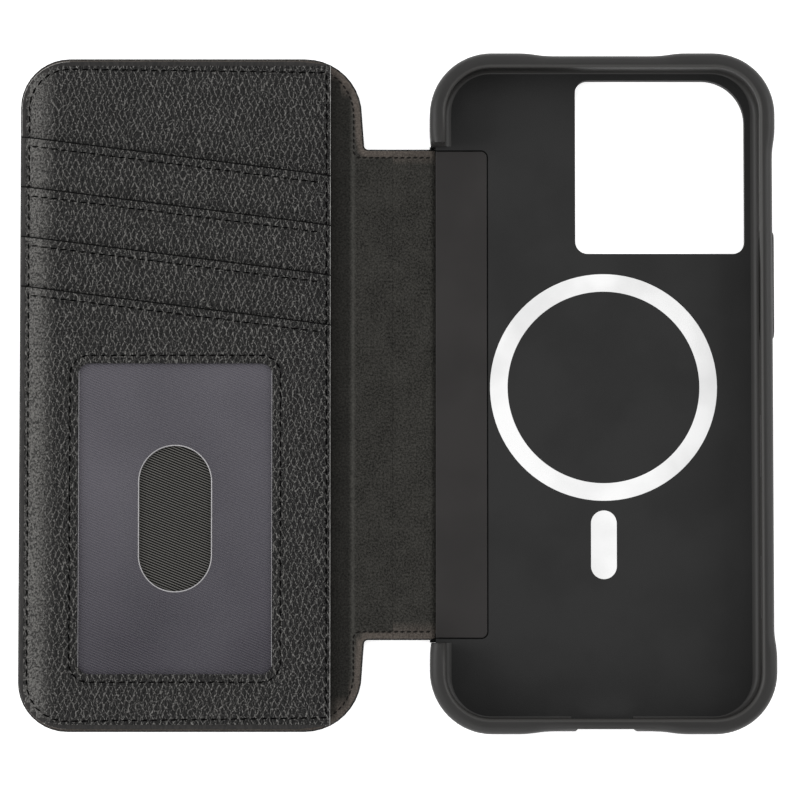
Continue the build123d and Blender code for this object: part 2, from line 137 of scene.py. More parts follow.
def soft_light(name, place, size, watts):
    """A square softbox at place that faces the case."""
    light = bpy.data.objects.new(name, bpy.data.lights.new(name, "AREA"))
    light.data.size = size
    light.data.energy = watts
    light.location = place
    light.rotation_euler = Vector(place).to_track_quat("Z", "Y").to_euler()
    bpy.context.collection.objects.link(light)
    return light


soft_light("light_left", (-0.88, 0.08, 0.45), 0.5, 4.8)
soft_light("light_right", (0.80, 0.20, 0.50), 0.5, 3.0)
soft_light("light_top", (0.10, 0.75, 0.65), 0.7, 1.2)
soft_light("light_low", (-0.15, -0.78, 0.45), 0.6, 2.0)

WORLD_LIGHT = 0.58
world = bpy.data.worlds.new("studio")
world.use_nodes = True
world.node_tree.nodes["Background"].inputs["Color"].default_value = (1, 1, 1, 1)
world.node_tree.nodes["Background"].inputs["Strength"].default_value = WORLD_LIGHT
bpy.context.scene.world = world
print("lens", round(camera.data.lens), "mm")

# %% [markdown]
# Materials are written as sums. `Value` wraps one socket and gives it Python's operators, so `1 - mask`
# adds the Math node that it says. `Finish` starts a material and adds any other node, its settings first.

# %% Shader sums
class Value:
    """A number that varies over a surface."""

    def __init__(self, finish, socket):
        self.finish = finish
        self.socket = socket

    def sum(self, operation, *values):
        """A Math node on these values, which are sockets or plain numbers."""
        return self.finish.add("Math", {"operation": operation}, dict(enumerate(values)))

    def __add__(self, other):
        return self.sum("ADD", self, other)

    def __radd__(self, other):
        return self.sum("ADD", other, self)

    def __sub__(self, other):
        return self.sum("SUBTRACT", self, other)

    def __rsub__(self, other):
        return self.sum("SUBTRACT", other, self)

    def __mul__(self, other):
        return self.sum("MULTIPLY", self, other)

    def __rmul__(self, other):
        return self.sum("MULTIPLY", other, self)

    def sine(self):
        return self.sum("SINE", self)

    def step(self, low, high):
        """0 below low, 1 above high, and smooth between them."""
        settings = {"interpolation_type": "SMOOTHSTEP"}
        return self.finish.add("MapRange", settings, {"Value": self, "From Min": low, "From Max": high})


class Finish:
    """One material, with its Principled shader."""

    def __init__(self, name, color, roughness, **constants):
        self.material = bpy.data.materials.new(name)
        self.material.use_nodes = True
        self.nodes = self.material.node_tree.nodes
        self.surface = self.nodes["Principled BSDF"]
        self.follows_sheet = False
        self.material.diffuse_color = (*color, 1)
        self.set("Base Color", (*color, 1))
        self.set("Roughness", roughness)
        for name, value in constants.items():
            self.set(name.replace("_", " ").title().replace("Ior", "IOR"), value)

    def set(self, socket, value):
        """Stores or links a value on one of the shader's own sockets."""
        self.feed(self.surface.inputs[socket], value)

    def feed(self, socket, value):
        """A number or a colour is stored on the socket, and a Value is linked to it."""
        if isinstance(value, Value):
            self.material.node_tree.links.new(value.socket, socket)
        else:
            socket.default_value = value

    def add(self, kind, settings=None, inputs=None, output=0):
        """A node of this kind, with its settings, its inputs, and the output that is wanted."""
        node = self.nodes.new("ShaderNode" + kind)
        for name, value in (settings or {}).items():
            setattr(node, name, value)
        for name, value in (inputs or {}).items():
            self.feed(node.inputs[name], value)
        return Value(self, node.outputs[output])

    def place(self, scale=(1, 1, 1), turn=(0, 0, 0)):
        """Where a point is on the object, in millimetres, stretched by scale and turned."""
        if self.follows_sheet:
            point = self.add("Attribute", {"attribute_name": "flat_place"}, output="Vector")
        else:
            point = self.add("TexCoord", output="Object")
        sizes = [s / MM for s in scale]
        inputs = {"Vector": point, "Rotation": turn, "Scale": sizes}
        return self.add("Mapping", {"vector_type": "POINT"}, inputs)

    def mix(self, share, first, second):
        """A colour that goes from first to second as share goes from 0 to 1."""
        inputs = {0: share}
        for slot, colour in ((6, first), (7, second)):
            inputs[slot] = colour if isinstance(colour, Value) else (*colour, 1)
        return self.add("Mix", {"data_type": "RGBA", "clamp_factor": True}, inputs, output=2)

    def noise(self, scale, detail=2.0, where=None, roughness=0.5):
        """Soft random blotches, scale of them to each millimetre."""
        where = where or self.place()
        inputs = {"Vector": where, "Scale": scale, "Detail": detail, "Roughness": roughness}
        return self.add("TexNoise", None, inputs)

    def bump(self, height, depth, strength=1.0):
        """Height from 0 to 1 stands depth millimetres proud of the surface."""
        inputs = {"Height": height, "Distance": depth * MM, "Strength": strength}
        self.set("Normal", self.add("Bump", None, inputs))


print("materials are written with", Value.__name__, "and", Finish.__name__)

# %% [markdown]
# The wallet's leather is black with a full grain. Long creases cross in diamonds drawn out along the
# case, and fine pebbles fill them. A crease is a sine wave across the leather, of which only the crests
# are kept, and a soft noise makes it wander. Two such sets, turned to both sides, cross in diamonds.
# Voronoi cells make the pebbles, bent by noise so that no border is straight. Creases catch the light, so
# they are raised and also painted paler, a painted highlight, and a quick noise breaks them into glints.
# An attribute marks a band inside the left edge that is painted paler still, a painted sheen where the
# leather curves down to the edge. A pattern on a sheet that bends reads its place in the flat sheet from
# another attribute, so that it bends with the sheet instead of sliding through it.

# %% Leather
HOLLOW_BLACK = (0.0015, 0.0015, 0.0016)
PORE_BLACK = (0.0115, 0.0113, 0.0109)
PAINTED_SHEEN_GREY = (0.155, 0.151, 0.143)
CREASE_HIGHLIGHT_GREY = (0.205, 0.200, 0.190)
PEBBLE_BEND = 0.42
CREASE_TURN = 22
CREASE_SWAY = 10.0
CREST = 0.76


def leather(name, cell, stretch, depth, pitch, lines=1.0, specular=0.22, follows_sheet=False):
    """Leather. cell is a pebble's width, stretch its length over its width, pitch that of the creases."""
    finish = Finish(name, (0.012, 0.012, 0.0122), 0.45, specular_ior_level=specular)
    finish.follows_sheet = follows_sheet
    where = finish.place((1 / cell, 1 / cell / stretch, 1 / cell))
    drift = finish.add("TexNoise", None, {"Vector": where, "Scale": 0.8, "Detail": 2.0}, output=1)
    bent = finish.add("Mix", {"data_type": "VECTOR"}, {0: PEBBLE_BEND, 4: where, 5: drift}, output=1)
    cells = {"feature": "DISTANCE_TO_EDGE", "voronoi_dimensions": "2D"}
    pebble = finish.add("TexVoronoi", cells, {"Vector": bent, "Scale": 1.0, "Randomness": 1.0})

    def slanted(angle):
        """Long wandering creases, one set of the two that cross in diamonds."""
        turned = finish.place(turn=(0, 0, radians(angle)))
        across = finish.add("SeparateXYZ", None, {"Vector": turned}, output="X")
        wander = finish.noise(0.42, 2.0, turned)
        return (across * (2 * pi / pitch) + wander * CREASE_SWAY).sine().step(CREST, 1.0)

    pores = finish.noise(5.0, 2.0)
    breaks = finish.noise(2.2, 1.0)
    patches = finish.noise(0.40, 2.0)
    swell = finish.noise(0.10, 1.0)
    painted_sheen = finish.add("Attribute", {"attribute_name": "painted_sheen"}, output="Fac")
    border = (1 - pebble.step(0.005, 0.090)) * (0.15 + 0.40 * patches.step(0.35, 0.62))
    diamonds = slanted(CREASE_TURN) + slanted(-CREASE_TURN)
    crease = (border + diamonds * 0.85) * (0.10 + 0.90 * breaks.step(0.38, 0.62)) * lines
    swollen = pebble.step(0.04, 0.28)
    height = swollen * 0.75 + crease * 0.35 + pores * 0.20
    tone = finish.mix(pores.step(0.3, 0.7), HOLLOW_BLACK, PORE_BLACK)
    # The marked band near the left edge is painted paler, a painted sheen where the leather curves down.
    tone = finish.mix(painted_sheen * (0.15 + 0.85 * breaks.step(0.32, 0.62)), tone, PAINTED_SHEEN_GREY)
    # Creases are painted pale grey, a painted highlight for the light that their slopes catch.
    finish.set("Base Color", finish.mix(crease, tone, CREASE_HIGHLIGHT_GREY))
    finish.set("Roughness", 0.50 - 0.14 * crease + 0.14 * (swell - 0.5))
    finish.bump(height, depth)
    return finish.material


wallet_leather = leather("wallet_leather", 0.40, 2.4, 0.55, 1.30)
outer_leather = leather("outer_leather", 0.66, 1.5, 0.40, 1.30, 0.38, 0.42, follows_sheet=True)
print("leather nodes", len(wallet_leather.node_tree.nodes), "and", len(outer_leather.node_tree.nodes))

# %% [markdown]
# Where leather is cut and not turned over, its edge is sanded and painted grey, with paler streaks that
# are partly a painted highlight. Where it is folded, pressing has flattened the grain almost away. Both
# get streaks along the case, made by a noise that is stretched that way. A slot's mouth is the same
# pressed leather, painted nearly black, a painted shade for the shadow that it lies in.

# %% Leather edges
def edge_paint():
    """Matt grey paint on a cut edge, a little uneven."""
    finish = Finish("edge_paint", (0.16, 0.155, 0.15), 0.55, specular_ior_level=0.3)
    streaks = finish.noise(1.2, 3.0, finish.place((6.0, 0.5, 6.0)))
    # The pale streaks are partly grey edge paint and partly a painted highlight along the edge.
    finish.set("Base Color", finish.mix(streaks.step(0.3, 0.7), (0.17, 0.166, 0.160), (0.50, 0.49, 0.475)))
    finish.bump(streaks, 0.05)
    return finish.material


def pressed_leather(name, dark, light, specular):
    """Leather at a turned edge, smooth and faintly lined along it."""
    finish = Finish(name, dark, 0.55, specular_ior_level=specular)
    lines = finish.noise(0.8, 4.0, finish.place((3.0, 0.6, 3.0)))
    finish.set("Base Color", finish.mix(lines.step(0.3, 0.7), dark, light))
    finish.set("Roughness", 0.42 + 0.2 * lines)
    finish.bump(lines, 0.07)
    return finish.material


raw_edge_and_highlight = edge_paint()
turned_edge = pressed_leather("pressed_leather", (0.005, 0.0045, 0.0043), (0.020, 0.018, 0.0168), 0.35)
# A slot's mouth is painted nearly black, a painted shade for the shadow that it lies in.
mouth_shade = pressed_leather("mouth_shade", (0.001, 0.001, 0.001), (0.003, 0.003, 0.003), 0.06)
print("edges:", raw_edge_and_highlight.name, turned_edge.name, mouth_shade.name)

# %% [markdown]
# Microfibre is a felt of fibres far finer than a hair, so it shows no weave, only a soft grain. Close to
# a sewn edge it is pressed flat and looks browner. Along the fold it is painted paler, a painted
# highlight on the raised line there. The sheets carry attributes, `rim` and `fold`, that are 1 there,
# and `shade`, which is 1 on the cover's side of the fold, where the cloth is painted darker, a painted
# shade where the wallet's edge shadows it.

# %% Microfibre
NAP_DARK, NAP_LIGHT = (0.004, 0.0040, 0.0034), (0.057, 0.0550, 0.0495)
RIM_DARK, RIM_LIGHT = (0.046, 0.0395, 0.0345), (0.135, 0.1160, 0.1010)
SHADED_NAP = (0.008, 0.0078, 0.0070)
FOLD_HIGHLIGHT_NAP = (0.085, 0.083, 0.076)


def microfibre():
    """Felt with three attributes for its sewn rim, its fold and its shaded side."""
    finish = Finish("microfibre", (0.022, 0.021, 0.0195), 0.95, specular_ior_level=0.10)
    rim = finish.add("Attribute", {"attribute_name": "rim"}, output="Fac")
    fibres = finish.noise(2.2, 4.0, roughness=0.75)
    nap = finish.noise(0.22, 3.0)
    tone = fibres.step(0.30, 0.72) * 0.85 + nap.step(0.3, 0.7) * 0.15
    cloth = finish.mix(tone, NAP_DARK, NAP_LIGHT)
    fold = finish.add("Attribute", {"attribute_name": "fold"}, output="Fac")
    pressed = finish.mix(tone, RIM_DARK, RIM_LIGHT)
    shade = finish.add("Attribute", {"attribute_name": "shade"}, output="Fac")
    # The cover's side of the fold is painted darker, a painted shade where the wallet's edge shadows it.
    cloth = finish.mix(shade * 0.55, cloth, SHADED_NAP)
    # Along the fold the cloth is painted paler, a painted highlight on the raised line.
    painted_sheen = finish.mix(fold * 0.38, cloth, FOLD_HIGHLIGHT_NAP)
    finish.set("Base Color", finish.mix(rim, painted_sheen, pressed))
    finish.bump(fibres, 0.16)
    return finish.material


lining_cloth = microfibre()
print("lining:", lining_cloth.name)

# %% [markdown]
# The soft bumper and the tray are moulded: the bumper from a satin rubbery plastic, the tray's plate with
# a fine spark texture. The strip beside the spine is smooth. Mould texture is only bump, a few hundredths
# deep. One function makes them all, and thread, board and metal too, since each is a plain tone with fine
# speckles. The bumper is painted paler on the inside of its wall, a painted highlight where it stands in
# shade.

# %% Moulded plastics
def moulded(name, color, roughness, grain, depth, spread=0.12, wall_highlight=None, **constants):
    """A plain tone with speckles, grain of them to a millimetre and depth high. A paler tone, if given, is
    a painted highlight where an attribute marks it.
    """
    finish = Finish(name, color, roughness, **constants)
    speckle = finish.noise(grain, 2.0)
    haze = finish.noise(0.05, 3.0)
    darker = tuple(c * 0.82 for c in color)
    tone = finish.mix(haze.step(0.35, 0.65), darker, color)
    if wall_highlight:
        highlight_share = finish.add("Attribute", {"attribute_name": "wall_highlight"}, output="Fac")
        # Painted highlight: the marked places get the paler tone.
        tone = finish.mix(highlight_share, tone, wall_highlight)
    finish.set("Base Color", tone)
    finish.set("Roughness", roughness + spread * (haze - 0.5) + 0.1 * (speckle - 0.5))
    finish.bump(speckle, depth)
    return finish.material


bumper_plastic = moulded(
    "bumper_plastic", (0.0225, 0.0217, 0.0210), 0.50, 5.0, 0.010, wall_highlight=(0.040, 0.0387, 0.0370),
    specular_ior_level=0.32,
)
tray_plastic = moulded("tray_plastic", (0.0245, 0.0245, 0.0245), 0.70, 4.0, 0.03, specular_ior_level=0.15)
strip_plastic = moulded("strip_plastic", (0.0275, 0.0255, 0.0250), 0.60, 8.0, 0.006, specular_ior_level=0.2)
white_label = moulded("white_label", (0.885, 0.885, 0.885), 0.7, 3.0, 0.01, specular_ior_level=0.2)
magnet_metal = moulded("magnet_metal", (0.55, 0.55, 0.56), 0.35, 2.0, 0.01, metallic=1.0)
keeper_steel = moulded("keeper_steel", (0.42, 0.42, 0.43), 0.45, 3.0, 0.01, metallic=1.0)
stiff_board = moulded("stiff_board", (0.20, 0.19, 0.17), 0.9, 3.0, 0.05)
lining_thread = moulded("lining_thread", (0.011, 0.010, 0.009), 0.85, 9.0, 0.04, specular_ior_level=0.08)
thread = moulded("thread", (0.0015, 0.0015, 0.0015), 0.85, 9.0, 0.04, specular_ior_level=0.03)
print(len(bpy.data.materials), "finishes so far")

# %% [markdown]
# The pocket behind the card window is black twill. Its ribs run down to the right, about eighteen to a
# centimetre. One sine across the ribs gives the rib, and one along them the yarns that cross it. A fine
# noise frays the ribs a little, because a perfect sine looks printed.

# %% Twill
RIB_PITCH = 0.56
RIB_TURN = radians(22.5)
YARN_PITCH = 0.45
RIB_SHARE = 0.85
TWILL_DARK, TWILL_LIGHT = (0.002, 0.002, 0.0018), (0.143, 0.139, 0.130)


def twill():
    """Cloth with slanting ribs."""
    finish = Finish("twill", (0.03, 0.03, 0.028), 0.8, specular_ior_level=0.12)
    where = finish.place(turn=(0, 0, RIB_TURN))
    split = finish.add("SeparateXYZ", None, {"Vector": where}, output="Y")
    along = finish.add("SeparateXYZ", None, {"Vector": where}, output="X")
    fray = finish.noise(2.5, 2.0)
    ribs = (split * (2 * pi / RIB_PITCH) + fray * 0.7).sine() * 0.5 + 0.5
    yarns = (along * (2 * pi / YARN_PITCH) + split * 9.0).sine() * 0.5 + 0.5
    tone = ribs * RIB_SHARE + yarns * (1 - RIB_SHARE)
    finish.set("Base Color", finish.mix(tone.step(0.38, 1.0), TWILL_DARK, TWILL_LIGHT))
    finish.bump(tone, 0.12)
    return finish.material


pocket_twill = twill()
print("twill:", round(10 / RIB_PITCH), "ribs to a centimetre")

# %% [markdown]
# The window is soft clear film, slightly milky with use. Alpha sets how much of the twill comes through,
# and the milk is the film's own grey-blue colour. Towards its lower end it is painted darker, a painted
# shade.

# %% Film
THIN_MILK_AND_SHADE, MILK_THICK = (0.085, 0.080, 0.100), (0.185, 0.176, 0.205)
SHADE_FULL_BELOW, SHADE_GONE_ABOVE = -66, -14
CLOUD_SHARE = 0.4


def window_plastic():
    """Milky film, painted darker towards its lower end as shade, which starts and ends at places given in
    millimetres along the case.
    """
    finish = Finish("window_plastic", (0.15, 0.146, 0.17), 0.45, specular_ior_level=0.2)
    cloud = finish.noise(0.03, 2.0)
    length = finish.add("SeparateXYZ", None, {"Vector": finish.place()}, output="Y")
    # The fall in milk towards the lower end is a painted shade, not a change in the film.
    milk_and_shade = cloud.step(0.3, 0.7) * CLOUD_SHARE + length.step(SHADE_FULL_BELOW, SHADE_GONE_ABOVE) * (1 - CLOUD_SHARE)
    finish.set("Base Color", finish.mix(milk_and_shade, THIN_MILK_AND_SHADE, MILK_THICK))
    finish.set("Alpha", 0.30 + 0.08 * cloud)
    finish.set("Roughness", 0.42 + 0.1 * cloud)
    return finish.material


clear_film = window_plastic()
film_rim = moulded("film_rim", (0.42, 0.41, 0.42), 0.35, 2.0, 0.01)
print("film:", clear_film.name, "and", film_rim.name)

# %% [markdown]
# Every outline of this object is straight lines joined by arcs, as a leather knife or a mould maker draws
# it. So two small helpers, an arc and a rectangle with round corners, draw all of them as lists of
# points.

# %% Outlines
def arc(centre, radius, start, end, steps=10):
    """Points on an arc, angles in degrees, from start to end."""
    angles = [radians(start + (end - start) * i / steps) for i in range(steps + 1)]
    return [(centre[0] + radius * cos(a), centre[1] + radius * sin(a)) for a in angles]


def rounded_box(low, high, radii):
    """A rectangle with arcs for corners: lower left, lower right, upper right, upper left."""
    (x0, y0), (x1, y1) = low, high
    a, b, c, d = radii
    return (
        arc((x0 + a, y0 + a), a, 180, 270)
        + arc((x1 - b, y0 + b), b, 270, 360)
        + arc((x1 - c, y1 - c), c, 0, 90)
        + arc((x0 + d, y1 - d), d, 90, 180)
    )


print("a quarter circle takes", len(arc((0, 0), 1, 0, 90)), "points")

# %% [markdown]
# Sheets of leather are cut flat, then shaped. An outline becomes one face, straight cuts across it give
# it inner points to bend at, an extrusion gives the thickness, and a bevel rounds the edges as turning
# does. Only a bevel on the flat sheet's own edges keeps every layer's edge the same, however it is bent
# later.

# %% Cutting a sheet
JOIN = 0.001 * MM
ON_LINE = 0.0001 * MM
SHARP = radians(60)


def flat_face(outlines):
    """A bmesh with the flat face inside the first outline and outside the others."""
    bm = bmesh.new()
    for outline in outlines:
        ring = [bm.verts.new((x, y, 0)) for x, y in outline]
        for start, end in zip(ring, ring[1:] + ring[:1]):
            bm.edges.new((start, end))
    bmesh.ops.triangle_fill(bm, edges=bm.edges[:], use_beauty=True, normal=(0, 0, 1))
    bmesh.ops.dissolve_limit(bm, angle_limit=radians(1), verts=bm.verts[:], edges=bm.edges[:])
    return bm


def cut(bm, point, normal, clear=False):
    """Cuts along a line. With clear, what lies ahead of normal is thrown away."""
    everything = bm.verts[:] + bm.edges[:] + bm.faces[:]
    normal = (normal[0], normal[1], 0)
    point = (point[0], point[1], 0)
    bmesh.ops.bisect_plane(
        bm, geom=everything, dist=ON_LINE, plane_co=point, plane_no=normal, clear_outer=clear,
    )


def cut_lines(bm, start, ahead, depths):
    """Cuts square to ahead, at these depths beyond start."""
    for depth in depths:
        cut(bm, start + ahead * depth, ahead)


def cut_grid(bm, step_x, step_y):
    """Straight cuts across the whole sheet in both directions."""
    xs = [v.co.x for v in bm.verts]
    ys = [v.co.y for v in bm.verts]
    for x in np.arange(min(xs) + step_x, max(xs), step_x):
        cut(bm, (x, 0), (1, 0))
    for y in np.arange(min(ys) + step_y, max(ys), step_y):
        cut(bm, (0, y), (0, 1))


def thicken(bm, bottom, top, edge_round, segments=3):
    """Gives a flat sheet its thickness, rounds its edges, and returns its area before all that."""
    bmesh.ops.remove_doubles(bm, verts=bm.verts[:], dist=JOIN)
    bmesh.ops.recalc_face_normals(bm, faces=bm.faces[:])
    flat_area = sum(face.calc_area() for face in bm.faces)
    for vert in bm.verts:
        vert.co.z = bottom
    lower = bm.faces[:]
    result = bmesh.ops.extrude_face_region(bm, geom=lower, use_keep_orig=True)
    upper = [item for item in result["geom"] if isinstance(item, bmesh.types.BMVert)]
    bmesh.ops.translate(bm, verts=upper, vec=(0, 0, top - bottom))
    bmesh.ops.recalc_face_normals(bm, faces=bm.faces[:])
    if edge_round:
        sharp = [e for e in bm.edges if len(e.link_faces) == 2 and e.calc_face_angle() > SHARP]
        sharp = [e for e in sharp if abs(e.verts[0].co.z - e.verts[1].co.z) < JOIN]
        bmesh.ops.bevel(
            bm, geom=sharp, offset=edge_round, offset_type="OFFSET", affect="EDGES", segments=segments,
            profile=0.5, material=-1, clamp_overlap=True,
        )
    return flat_area

# %% [markdown]
# A finished piece is a mesh with its materials, smooth except over sharp corners. The size and area that
# a sheet was cut from are also printed, so that a maker of the real thing could cut it again.

# %% Finishing a piece
def finish_piece(name, bm, materials, smooth_angle=50):
    """Turns a bmesh into a named piece, smooth except over sharp corners."""
    mesh = bpy.data.meshes.new(name)
    bm.to_mesh(mesh)
    bm.free()
    piece = bpy.data.objects.new(name, mesh)
    bpy.context.collection.objects.link(piece)
    for material in materials:
        mesh.materials.append(material)
    mesh.shade_smooth()
    mesh.set_sharp_from_angle(angle=radians(smooth_angle))
    print(f"{name}: {len(mesh.polygons)} faces")
    return piece


def as_sheet(piece, area):
    """Prints the size of a piece and the area of the flat sheet that it was cut from."""
    points = np.array([v.co for v in piece.data.vertices])
    width, length = np.ptp(points[:, :2], axis=0)
    print(f"{piece.name}: cut from {width / MM:.1f} by {length / MM:.1f} mm, {area / MM**2:.0f} mm2")

# %% [markdown]
# Much of leather's shape depends on how near a place is to an edge: it is thin at the seam, dented beside
# a row of stitches and rubbed at the rim. So these helpers measure distances for all points at once, and
# store a number on each point as an attribute where a finish needs to know.

# %% Measuring a sheet
def edge_distance(points, outline):
    """Distance of each point from the nearest stretch of an outline."""
    start = np.array(outline)
    end = np.roll(start, -1, axis=0)
    run = end - start
    gap = points[:, None, :] - start
    share = np.clip((gap * run).sum(2) / np.maximum((run * run).sum(1), 1e-18), 0, 1)
    return np.linalg.norm(gap - share[:, :, None] * run, axis=2).min(1)


def smooth_step(value, low, high):
    """0 below low, 1 above high, and smooth between them."""
    share = np.clip((value - low) / (high - low), 0, 1)
    return share * share * (3 - 2 * share)


def mark(piece, name, values):
    """Stores one number for each point of a piece, for its finish to read."""
    attribute = piece.data.attributes.new(name, "FLOAT", "POINT")
    attribute.data.foreach_set("value", values.astype(np.float32))


def keep_flat_places(piece):
    """Stores where each point is in the flat sheet. Adding the height carries a pattern down the edges."""
    places = np.array([v.co for v in piece.data.vertices])
    places[:, :2] += places[:, 2:]
    attribute = piece.data.attributes.new("flat_place", "FLOAT_VECTOR", "POINT")
    attribute.data.foreach_set("vector", places.astype(np.float32).ravel())


def read_points(bm):
    """All points of a bmesh as an array."""
    return np.array([v.co for v in bm.verts])


print("halfway up a smooth step:", smooth_step(0.5, 0, 1))

# %% [markdown]
# The wallet is five layers of leather, each leaning on the one behind like a roof tile, four of them with
# a slanted mouth. All of them are sewn down together round the outside, where the stack is squeezed thin.
# So one function squeezes every layer by how near it is to the outline, and the layers can never pass
# through each other.

# %% The wallet's outline and squeeze
FREE_ROUND = 10.85 * MM
TIP_RUN, TIP_DROP = 7.0 * MM, 0.8 * MM
SQUEEZE_FROM, SQUEEZE_WIDTH, SQUEEZE_LEFT = -1.0 * MM, 5.5 * MM, 0.50
SEAM_IN = 1.8 * MM

wallet_left, wallet_right = top_low.x, top_high.x
wallet_half = top_high.y
wallet_base = lining_high.z
wallet_outline = (
    arc((wallet_left + FREE_ROUND, -wallet_half + FREE_ROUND), FREE_ROUND, 180, 270)
    + [(wallet_right - TIP_RUN, -wallet_half), (wallet_right, -wallet_half + TIP_DROP)]
    + [(wallet_right, wallet_half - TIP_DROP), (wallet_right - TIP_RUN, wallet_half)]
    + arc((wallet_left + FREE_ROUND, wallet_half - FREE_ROUND), FREE_ROUND, 90, 180)
)


def squeeze(bm):
    """Presses a wallet layer down towards the cover near the wallet's outline."""
    points = read_points(bm)
    near = edge_distance(points[:, :2], wallet_outline)
    keep = SQUEEZE_LEFT + (1 - SQUEEZE_LEFT) * np.sqrt(smooth_step(near, SQUEEZE_FROM, SQUEEZE_WIDTH))
    for vert, share in zip(bm.verts, keep):
        vert.co.z = wallet_base + (vert.co.z - wallet_base) * share


print("wallet", round((wallet_right - wallet_left) / MM, 1), "by", round(2 * wallet_half / MM, 1), "mm")

# %% [markdown]
# The card slots slant, so that a card's corner shows. Each mouth is a line turned a few degrees, and
# directions along it and down from it are all that is needed to place the leather, its seam and its
# hidden lower end. The slope comes from the heights of the mouth and of the layer behind, as the CAD has
# them.

# %% Slots
SLOT_ANGLE = radians(7.2)
SLOTS = 3
SLOT_SEAM = 2.0 * MM
SLOT_HIDDEN = 7.0 * MM
PANEL = top_high.z - top_low.z

wallet_x = (wallet_left + wallet_right) / 2
half_width = (wallet_right - wallet_left) / 2
slot_boxes = [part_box(f"slot_panel_{n + 1}") for n in range(SLOTS)]
mouths = [box[1].y - half_width * tan(SLOT_ANGLE) for box in slot_boxes]
mouths.append(window_high.y - half_width * tan(SLOT_ANGLE))
pitch = (mouths[0] - mouths[1]) * cos(SLOT_ANGLE)
panel_z = top_low.z
mouth_z = slot_boxes[0][1].z - PANEL
slope = (mouth_z - panel_z) / (pitch + SLOT_HIDDEN)
down_slot = Vector((-sin(SLOT_ANGLE), -cos(SLOT_ANGLE)))
along_slot = Vector((cos(SLOT_ANGLE), -sin(SLOT_ANGLE)))


def mouth_middle(number):
    """The middle of a slot's mouth."""
    return Vector((wallet_x, mouths[number]))


def below_mouth(points, number):
    """How far points are below slot number's mouth, square to it."""
    return (points[:, 0] - wallet_x) * down_slot.x + (points[:, 1] - mouths[number]) * down_slot.y


print("slots", round(pitch / MM, 1), "mm apart")

# %% [markdown]
# Thread pulls leather in, so a shallow groove runs under every seam. A groove is only as good as the
# points it has, so the flat sheet is first cut on both sides of the seam. Soft leather is never quite
# flat either, and a slow noise gives it a ripple. A band inside the outer edge at the left, where the
# stack bulges, is marked for a painted sheen: it is painted paler there.

# %% Seams, ripple and painted sheen
GROOVE_WIDTH, GROOVE_DEPTH = 0.50 * MM, 0.24 * MM
GROOVE_CUTS = (-1.6, -0.8, 0, 0.8, 1.6)
SOFT_RIPPLE, RIPPLE_WIDE, RIPPLE_LONG = 0.10 * MM, 13, 17
SHEEN_FROM, SHEEN_FULL = 0.9 * MM, 2.2 * MM
SHEEN_FADE, SHEEN_TO = 3.8 * MM, 7.5 * MM


def paint_sheen(piece):
    """Marks the band inside the wallet's left edge that is painted paler, a painted sheen."""
    inward = np.array([v.co.x for v in piece.data.vertices]) - wallet_left
    mark(piece, "painted_sheen", smooth_step(inward, SHEEN_FROM, SHEEN_FULL) - smooth_step(inward, SHEEN_FADE, SHEEN_TO))


def groove(distance):
    """Depth of the dent that a seam leaves, at a distance from it."""
    return GROOVE_DEPTH * np.exp(-((distance / GROOVE_WIDTH) ** 2))


def ripple(points, seed):
    """Slow unevenness of soft leather."""
    waves = [noise.noise((p[0] / MM / RIPPLE_WIDE, p[1] / MM / RIPPLE_LONG, seed)) for p in points]
    return np.array(waves) * SOFT_RIPPLE


def seam_cuts(bm, point, normal):
    """Cuts on both sides of a seam, so that its groove has points to bend at."""
    for side in GROOVE_CUTS:
        offset = side * GROOVE_WIDTH
        cut(bm, (point[0] + normal[0] * offset, point[1] + normal[1] * offset), normal)


def border_cuts(bm):
    """Cuts along the wallet's outer seam."""
    seam_cuts(bm, (wallet_left + SEAM_IN, 0), (1, 0))
    seam_cuts(bm, (wallet_right - SEAM_IN / 2, 0), (1, 0))
    seam_cuts(bm, (0, wallet_half - SEAM_IN), (0, 1))
    seam_cuts(bm, (0, -wallet_half + SEAM_IN), (0, 1))


def border_distance(points):
    """Distance from the seam that runs inside the wallet's outline."""
    return np.abs(edge_distance(points[:, :2], wallet_outline) - SEAM_IN)


print("grooves", GROOVE_DEPTH / MM, "mm deep")

# %% [markdown]
# One panel shows several finishes: grained leather on top, pressed leather where it is turned, and paint
# where it is cut. Each is a material slot, and a test on a face's middle says which slot the face belongs
# to.

# %% Edges of a panel
RIM_PRESSED = 0.55 * MM
PALE_RIM_WIDTH = 0.17 * MM
RIM_END = 1.5 * MM
CUT_EDGE = 0.25 * MM
MOUTH_SHADE_WIDTH = 0.30 * MM


def mark_faces(bm, materials_by_test):
    """Gives each face the last material whose test it passes."""
    for face in bm.faces:
        for number, test in materials_by_test:
            if test(face):
                face.material_index = number


def right_edge(face):
    """Faces of the cut edge beside the spine, its rounding included."""
    return face.calc_center_median().x > wallet_right - CUT_EDGE


def from_rim(middle):
    """How far a place is inside the wallet's outline."""
    return edge_distance(np.array([[middle.x, middle.y]]), wallet_outline)[0]


def turned_rim(face):
    """Faces at the outer edge, left, top and bottom, that are pressed smooth."""
    middle = face.calc_center_median()
    return from_rim(middle) < RIM_PRESSED and middle.x < wallet_right - RIM_END


def pale_rim(face):
    """Faces on the very edge at the wallet's left and its two round corners, which get the pale cut-edge
    finish.
    """
    middle = face.calc_center_median()
    return from_rim(middle) < PALE_RIM_WIDTH and middle.x < wallet_left + FREE_ROUND


def turned_mouth(number):
    """A test for the faces of a slot's own edge, where the leather is folded under and painted nearly black
    as shade.
    """
    def test(face):
        middle = face.calc_center_median()
        return below_mouth(np.array([[middle.x, middle.y]]), number)[0] < MOUTH_SHADE_WIDTH
    return test


print("turned edges", RIM_PRESSED / MM, "mm wide")

